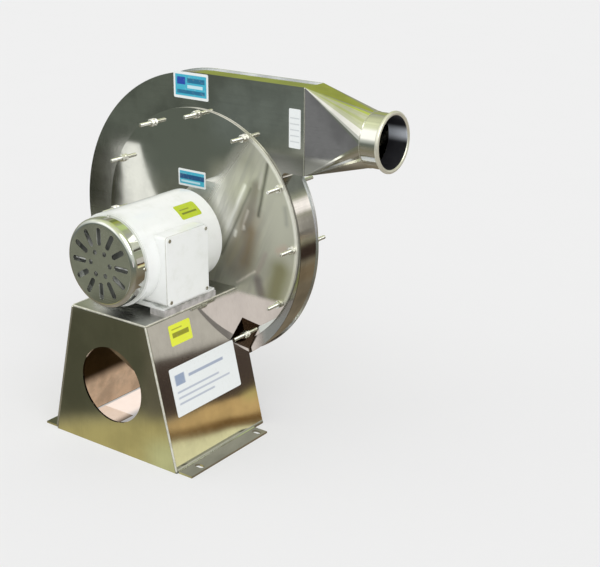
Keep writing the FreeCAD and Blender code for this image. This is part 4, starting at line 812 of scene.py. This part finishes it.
def new_piece(name, build, finish):
    """A mesh piece made by build(mesh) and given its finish. It rides on the housing."""
    shape = bmesh.new()
    build(shape)
    bmesh.ops.remove_doubles(shape, verts=shape.verts, dist=MERGE_DISTANCE)
    bmesh.ops.recalc_face_normals(shape, faces=shape.faces)
    mesh = bpy.data.meshes.new(name)
    shape.to_mesh(mesh)
    shape.free()
    mesh.materials.append(finish)
    piece = add_object(name, mesh)
    mesh.shade_smooth()
    mesh.set_sharp_from_angle(angle=SMOOTH_ANGLE)
    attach(piece, HOUSING)
    return piece


def turns(count):
    """Angles that share a full turn evenly."""
    return [2 * math.pi * index / count for index in range(count)]


def bridge(shape, first, second):
    """Faces between two rings with the same number of corners."""
    count = len(first)
    for index in range(count):
        after = (index + 1) % count
        shape.faces.new((first[index], first[after], second[after], second[index]))


def skin(shape, rings, closed=False):
    """Faces along a row of rings, which is joined to its own start or capped at both ends."""
    for first, second in zip(rings, rings[1:]):
        bridge(shape, first, second)
    if closed:
        bridge(shape, rings[-1], rings[0])
    else:
        shape.faces.new(rings[0][::-1])
        shape.faces.new(rings[-1])


def axis_point(centre, across, up, way, radius, angle, along):
    """Point at a radius and angle about a centre, moved along the axis."""
    return centre + across * (radius * math.cos(angle)) + up * (radius * math.sin(angle)) + way * along


# Studs, nuts and the circle that they stand on.
STUD_COUNT = 12
STUD_RADIUS = 5.0 * MM
STUD_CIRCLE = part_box("drive_studs")[1].x - STUD_RADIUS
STUD_SIDES = 14
STUD_TIP = 1.2 * MM
STUD_TIP_SLOPE = 0.6
THREAD_PITCH = 1.5 * MM
THREAD_DEPTH = 0.75 * MM
NUT_SIDES = 48
NUT_FLATS = 17.0 * MM
NUT_FACE = NUT_FLATS / 2 * 0.96
NUT_BORE = STUD_RADIUS * 0.9
NUT_FLARE_WIDTH = 0.7 * MM
NUT_FLARE_DEPTH = 0.6 * MM
NUT_CHAMFER = math.radians(30)
NUT_TURN_SHARE = 5


def stud_places():
    """The place and angle of each stud on the circle."""
    for angle in turns(STUD_COUNT):
        yield AXIS + Vector((STUD_CIRCLE * math.cos(angle), 0, STUD_CIRCLE * math.sin(angle))), angle


def threaded_rod(shape, centre, start, end, turn):
    """Rod along Y whose surface follows a screw thread, with chamfered tips."""
    way = Vector((0, 1, 0))
    across = way.orthogonal().normalized()
    up = way.cross(across)
    count = round((end - start) / (THREAD_PITCH / 3))
    rings = []
    for index in range(count + 1):
        along = start + (end - start) * index / count
        inset = max(0.0, STUD_TIP - min(along - start, end - along)) * STUD_TIP_SLOPE
        ring = []
        for angle in turns(STUD_SIDES):
            phase = (along / THREAD_PITCH - angle / (2 * math.pi) + turn) % 1.0
            radius = STUD_RADIUS - THREAD_DEPTH * (1 - abs(2 * phase - 1)) - inset
            ring.append(shape.verts.new(axis_point(centre, across, up, way, radius, angle, along)))
        rings.append(ring)
    skin(shape, rings)


def chamfered_nut(shape, centre, start, end, turn):
    """Hexagon nut along Y with the corners of both faces turned off."""
    across, up, way = Vector((1, 0, 0)), Vector((0, 0, -1)), Vector((0, 1, 0))
    wedge = math.pi / 3

    def hexagon(angle):
        return NUT_FLATS / 2 / math.cos((angle + turn) % wedge - wedge / 2)

    def drop(angle):
        return max(0.0, hexagon(angle) - NUT_FACE) * math.tan(NUT_CHAMFER)

    def ring(radius_at, along_at):
        return [shape.verts.new(axis_point(centre, across, up, way, radius_at(angle), angle, along_at(angle)))
                for angle in turns(NUT_SIDES)]

    skin(shape, [
        ring(lambda a: NUT_BORE, lambda a: start + NUT_FLARE_DEPTH),
        ring(lambda a: NUT_BORE + NUT_FLARE_WIDTH, lambda a: start),
        ring(lambda a: NUT_FACE, lambda a: start),
        ring(hexagon, lambda a: start + drop(a)),
        ring(hexagon, lambda a: end - drop(a)),
        ring(lambda a: NUT_FACE, lambda a: end),
        ring(lambda a: NUT_BORE, lambda a: end),
    ], closed=True)


def add_studs(side):
    """The threaded studs and nuts of the drive side or the inlet side."""
    rod_low, rod_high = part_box(side + "_studs")
    nut_low, nut_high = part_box(side + "_nuts")

    def rods(shape):
        for centre, angle in stud_places():
            threaded_rod(shape, centre, rod_low.y, rod_high.y, angle)

    def nuts(shape):
        for centre, angle in stud_places():
            chamfered_nut(shape, centre, nut_low.y, nut_high.y, angle * NUT_TURN_SHARE)

    finish = materials["stainless_fasteners"]
    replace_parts(new_piece(side + "_threaded_studs", rods, finish), side + "_studs")
    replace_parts(new_piece(side + "_chamfered_nuts", nuts, finish), side + "_nuts")


# Weld beads dip between ripples and are thinner at open ends. No seam runs along BEAD_SKEW.
BEAD_SIDES = 8
BEAD_RIPPLE = 2.6 * MM
BEAD_STEP = BEAD_RIPPLE / 3
BEAD_DIP = 0.22
BEAD_END = 0.3
BEAD_SKEW = Vector((0.31, 0.47, 0.83))


def bead_line(points, closed):
    """Even steps along a line of points."""
    line = []
    for start, end in zip(points, points[1:] + points[:1] if closed else points[1:]):
        count = max(1, round((end - start).length / BEAD_STEP))
        line.extend(start.lerp(end, index / count) for index in range(count))
    return line if closed else line + [points[-1]]


def weld_bead(shape, points, radius, closed=False):
    """Rippled bead of weld metal laid along a line of points."""
    line = bead_line([Vector(point) for point in points], closed)
    rings = []
    travelled = 0.0
    last = len(line) - 1
    for index, point in enumerate(line):
        before = line[index - 1] if index > 0 or closed else point
        after = line[(index + 1) % len(line)] if index < last or closed else point
        way = (after - before).normalized()
        travelled += (point - before).length if index else 0.0
        swell = 1.0 - BEAD_DIP * ((travelled / BEAD_RIPPLE) % 1.0)
        if not closed:
            swell *= min(1.0, BEAD_END + min(index, last - index) * BEAD_STEP / radius)
        across = way.cross(BEAD_SKEW).normalized()
        up = way.cross(across)
        rings.append([shape.verts.new(axis_point(point, across, up, way, radius * swell, angle, 0.0))
                      for angle in turns(BEAD_SIDES)])
    skin(shape, rings, closed)


# Labels: thin plates with rounded corners, of a size given as width, height and corner radius.
LABEL_SHEET = 0.35 * MM
LABEL_LIFT = 0.05 * MM
LABEL_CORNER_STEPS = 6
LABEL_BEND_STEPS = 12
PRINT_EDGE = 0.012


def lay_print(shape, uv, where, size):
    """Fills a label's UV map from the place of each corner on the label."""
    for face in shape.faces:
        for loop in face.loops:
            x, y = where[loop.vert]
            loop[uv].uv = (x / size[0] + 0.5, y / size[1] + 0.5)


def rounded_outline(width, height, corner):
    """Points round a rectangle with rounded corners."""
    outline = []
    for sign_x, sign_y, first in ((1, 1, 0), (-1, 1, 90), (-1, -1, 180), (1, -1, 270)):
        for index in range(LABEL_CORNER_STEPS + 1):
            angle = math.radians(first + 90 * index / LABEL_CORNER_STEPS)
            outline.append((sign_x * (width / 2 - corner) + corner * math.cos(angle),
                            sign_y * (height / 2 - corner) + corner * math.sin(angle)))
    return outline


def flat_label(name, centre, across, up, size, finish):
    """Label on a flat face, with its middle at a place and its sides along two directions."""
    across, up = Vector(across).normalized(), Vector(up).normalized()
    out = across.cross(up)
    outline = rounded_outline(*size)

    def build(shape):
        uv = shape.loops.layers.uv.new("print")
        front, back = [[shape.verts.new(Vector(centre) + across * x + up * y + out * lift)
                        for x, y in outline] for lift in (LABEL_SHEET, 0.0)]
        shape.faces.new(front)
        shape.faces.new(back[::-1])
        bridge(shape, front, back)
        lay_print(shape, uv, dict(zip(front + back, outline + outline)), size)

    new_piece(name, build, finish)


def wrapped_label(name, along, middle_angle, size, finish):
    """Label bent round the motor's barrel, with its middle at a place along it and an angle."""
    width, height, corner = size

    def half_width(y):
        rest = height / 2 - abs(y)
        if rest >= corner:
            return width / 2
        return width / 2 - (corner - math.sqrt(max(0.0, corner ** 2 - (corner - rest) ** 2)))

    def build(shape):
        uv = shape.loops.layers.uv.new("print")
        where = {}
        edges = []
        for reach in (BARREL_RADIUS + LABEL_SHEET, BARREL_RADIUS):
            rows = []
            for index in range(LABEL_BEND_STEPS + 1):
                y = height * index / LABEL_BEND_STEPS - height / 2
                angle = middle_angle + y / BARREL_RADIUS
                half = half_width(y)
                row = [shape.verts.new((AXIS.x + reach * math.cos(angle), along + x,
                                        AXIS.z + reach * math.sin(angle))) for x in (-half, half)]
                where.update(zip(row, ((-half, y), (half, y))))
                rows.append(row)
            for low, high in zip(rows, rows[1:]):
                shape.faces.new((low[0], low[1], high[1], high[0]))
            edges.append([row[0] for row in rows] + [row[1] for row in reversed(rows)])
        bridge(shape, *edges)
        lay_print(shape, uv, where, size)

    new_piece(name, build, finish)


def between(graph, source, low, high):
    """One between two hundredths, with soft edges."""
    low, high = low / 100, high / 100
    return graph.times(graph.smooth(source, low - PRINT_EDGE, low + PRINT_EDGE),
                       graph.smooth(source, high + PRINT_EDGE, high - PRINT_EDGE))


def printed(name, ground, marks):
    """Printed film: rectangles on a ground, given as (left, right, low, high, display colour)."""
    material, graph, shader, place = new_material(name)
    across, upward = graph.parts(graph.add("ShaderNodeUVMap", uv_map="print").outputs[0])[0:2]
    colour = display(*ground)
    for left, right, low, high, tint in marks:
        share = graph.times(between(graph, across, left, right), between(graph, upward, low, high))
        colour = graph.mix(share, colour, display(*tint))
    wear = graph.noise(place, 160.0, 4.0, 0.7)
    faded = graph.mix(0.25, colour, display(205, 205, 195))
    colour = graph.mix(graph.smooth(wear, 0.52, 0.75), colour, faded)
    dress(graph, shader, colour, graph.plus(graph.times(wear, 0.2), 0.35), graph.bump(wear, 0.1, 0.0002))
    return material


# Plain bars of each label, in hundredths of its width and height.
WHITE = (236, 240, 240)
CYAN = (60, 178, 205)
TEAL = (18, 110, 150)
PRINTS = {
    "blue_print_one": (WHITE, [
        (5, 95, 10, 90, CYAN), (10, 34, 52, 80, (20, 70, 170)),
        (40, 90, 60, 78, TEAL), (40, 84, 40, 52, (200, 232, 240)),
        (10, 90, 18, 32, TEAL)]),
    "blue_print_two": (WHITE, [
        (5, 95, 12, 88, CYAN), (5, 95, 42, 70, (10, 80, 130)),
        (10, 80, 22, 34, (190, 228, 238))]),
    "plain_print": (WHITE, [
        (10, 90, row, row + 3, (205, 210, 212)) for row in (15, 30, 45, 60, 75)]),
    "yellow_print": ((232, 240, 60), [
        (12, 88, 36, 60, (150, 150, 30)), (12, 60, 74, 80, (175, 175, 50))]),
    "form_print": (WHITE, [
        (6, 20, 62, 84, (150, 165, 190)), (26, 80, 70, 76, (165, 175, 195)),
        (6, 70, 46, 50, (185, 192, 205)), (6, 86, 34, 38, (190, 196, 208)),
        (6, 60, 22, 26, (185, 192, 205))]),
    "lime_print": ((190, 208, 40), [
        (14, 86, 30, 42, (120, 130, 30)), (14, 60, 58, 66, (140, 150, 40))]),
}
CASING_LABELS = [
    # name, place across, face that carries it, height above the shaft, size, print
    ("sheet_label", -0.021, SHEET_FRONT, 0.3565, (0.110, 0.065, 0.004), "blue_print_one"),
    ("disc_label", -0.019, DISC_FRONT, 0.1265, (0.088, 0.043, 0.003), "blue_print_two"),
    ("duct_label", 0.2915, SHEET_FRONT, 0.293, (0.033, 0.092, 0.003), "plain_print"),
]
PEDESTAL_LABELS = [
    # name, place along, height above the floor, size, print
    ("pedestal_label", -0.059, 0.307, (0.075, 0.050, 0.004), "yellow_print"),
    ("form_label", -0.005, 0.178, (0.236, 0.118, 0.004), "form_print"),
]


def add_labels():
    """Bare label plates with plain bars in place of print."""
    prints = {name: printed(name, ground, marks) for name, (ground, marks) in PRINTS.items()}
    for name, across, face, above, size, film in CASING_LABELS:
        centre = (across, face - LABEL_SHEET, AXIS.z + above)
        flat_label(name, centre, (1, 0, 0), (0, 0, 1), size, prints[film])
    rise = (-SIDE_NORMAL.z, 0, SIDE_NORMAL.x)
    for name, along, above, size, film in PEDESTAL_LABELS:
        across = (SIDE_REACH - SIDE_NORMAL.z * above) / SIDE_NORMAL.x
        centre = Vector((across, along, above)) + SIDE_NORMAL * LABEL_LIFT
        flat_label(name, centre, (0, 1, 0), rise, size, prints[film])
    wrapped_label("motor_label", 0.046, math.radians(52), (0.070, 0.042, 0.003), prints["lime_print"])


def add_pedestal_welds(metal, ground):
    """Beads down the pedestal's corners and round the edge of its top. The right corner and the top edges are
    pale, a painted highlight; the left corner is plain weld metal.
    """
    base = rear_high.x - MM
    top = top_high.x - MM
    upper_edge = top_high.z - 1.5 * MM

    def corner(shape, side):
        weld_bead(shape, [(side * base, REAR_FACE + 0.5 * MM, 4 * MM),
                          (side * top, REAR_FACE + 0.5 * MM, top_high.z - 3 * MM)], 2.6 * MM)

    def edges(shape):
        for side in (-1, 1):
            weld_bead(shape, [(side * top, REAR_FACE + 2 * MM, upper_edge),
                              (side * top, top_high.y - 6 * MM, upper_edge)], 2.4 * MM)
        weld_bead(shape, [(-top, REAR_FACE + MM, upper_edge),
                          (top, REAR_FACE + MM, upper_edge)], 2.4 * MM)

    new_piece("left_corner_weld", lambda shape: corner(shape, -1), metal)
    new_piece("right_corner_weld", lambda shape: corner(shape, 1), ground)
    new_piece("pedestal_top_welds", edges, ground)


def add_outlet_welds(metal):
    """Beads round the end of the duct and the start of the collar."""
    bead = 1.6 * MM
    steps = 72
    near, far = SHEET_FRONT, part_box("casing_inlet_sheet")[1].y
    low, high = transition_low.z + bead, transition_high.z - bead
    radius = (transition_high.y - transition_low.y) / 2
    middle = Vector((collar_low.x, COLLAR_MIDDLE.y, COLLAR_MIDDLE.z))

    def duct_seam(shape):
        corners = ((near, low), (far, low), (far, high), (near, high))
        weld_bead(shape, [(DUCT_END, y, z) for y, z in corners], bead, closed=True)

    def collar_seam(shape):
        ring = [middle + Vector((0, radius * math.cos(angle), radius * math.sin(angle)))
                for angle in turns(steps)]
        weld_bead(shape, ring, bead, closed=True)

    new_piece("duct_weld", duct_seam, metal)
    new_piece("collar_weld", collar_seam, metal)


def add_welds():
    """Weld metal along the seams that show, and a pale weld finish that is a painted highlight."""
    metal = steel("weld_metal", (0.82, 0.81, 0.76, 1.0), 0.25, ALONG_Z, mottle=0.3)
    # Pale weld: painted highlight along the lit edges of the pedestal.
    ground = dull_solid("pale_highlight_weld", (246, 244, 234), (214, 212, 200), 0.3, 0.45)
    add_pedestal_welds(metal, ground)
    add_outlet_welds(metal)


add_camera()
add_surroundings()
add_soft_sun("key_light", (2.4, -1.8, 2.8), 50, 1.05, True)
add_soft_sun("fill_light", (-2.6, -1.2, 2.4), 60, 0.5, False)
add_floor()
finish_frame()
add_studs("drive")
add_studs("inlet")
add_labels()
add_welds()

view = bpy.context.scene.view_settings
view.view_transform = "Standard"

bpy.context.view_layer.update()
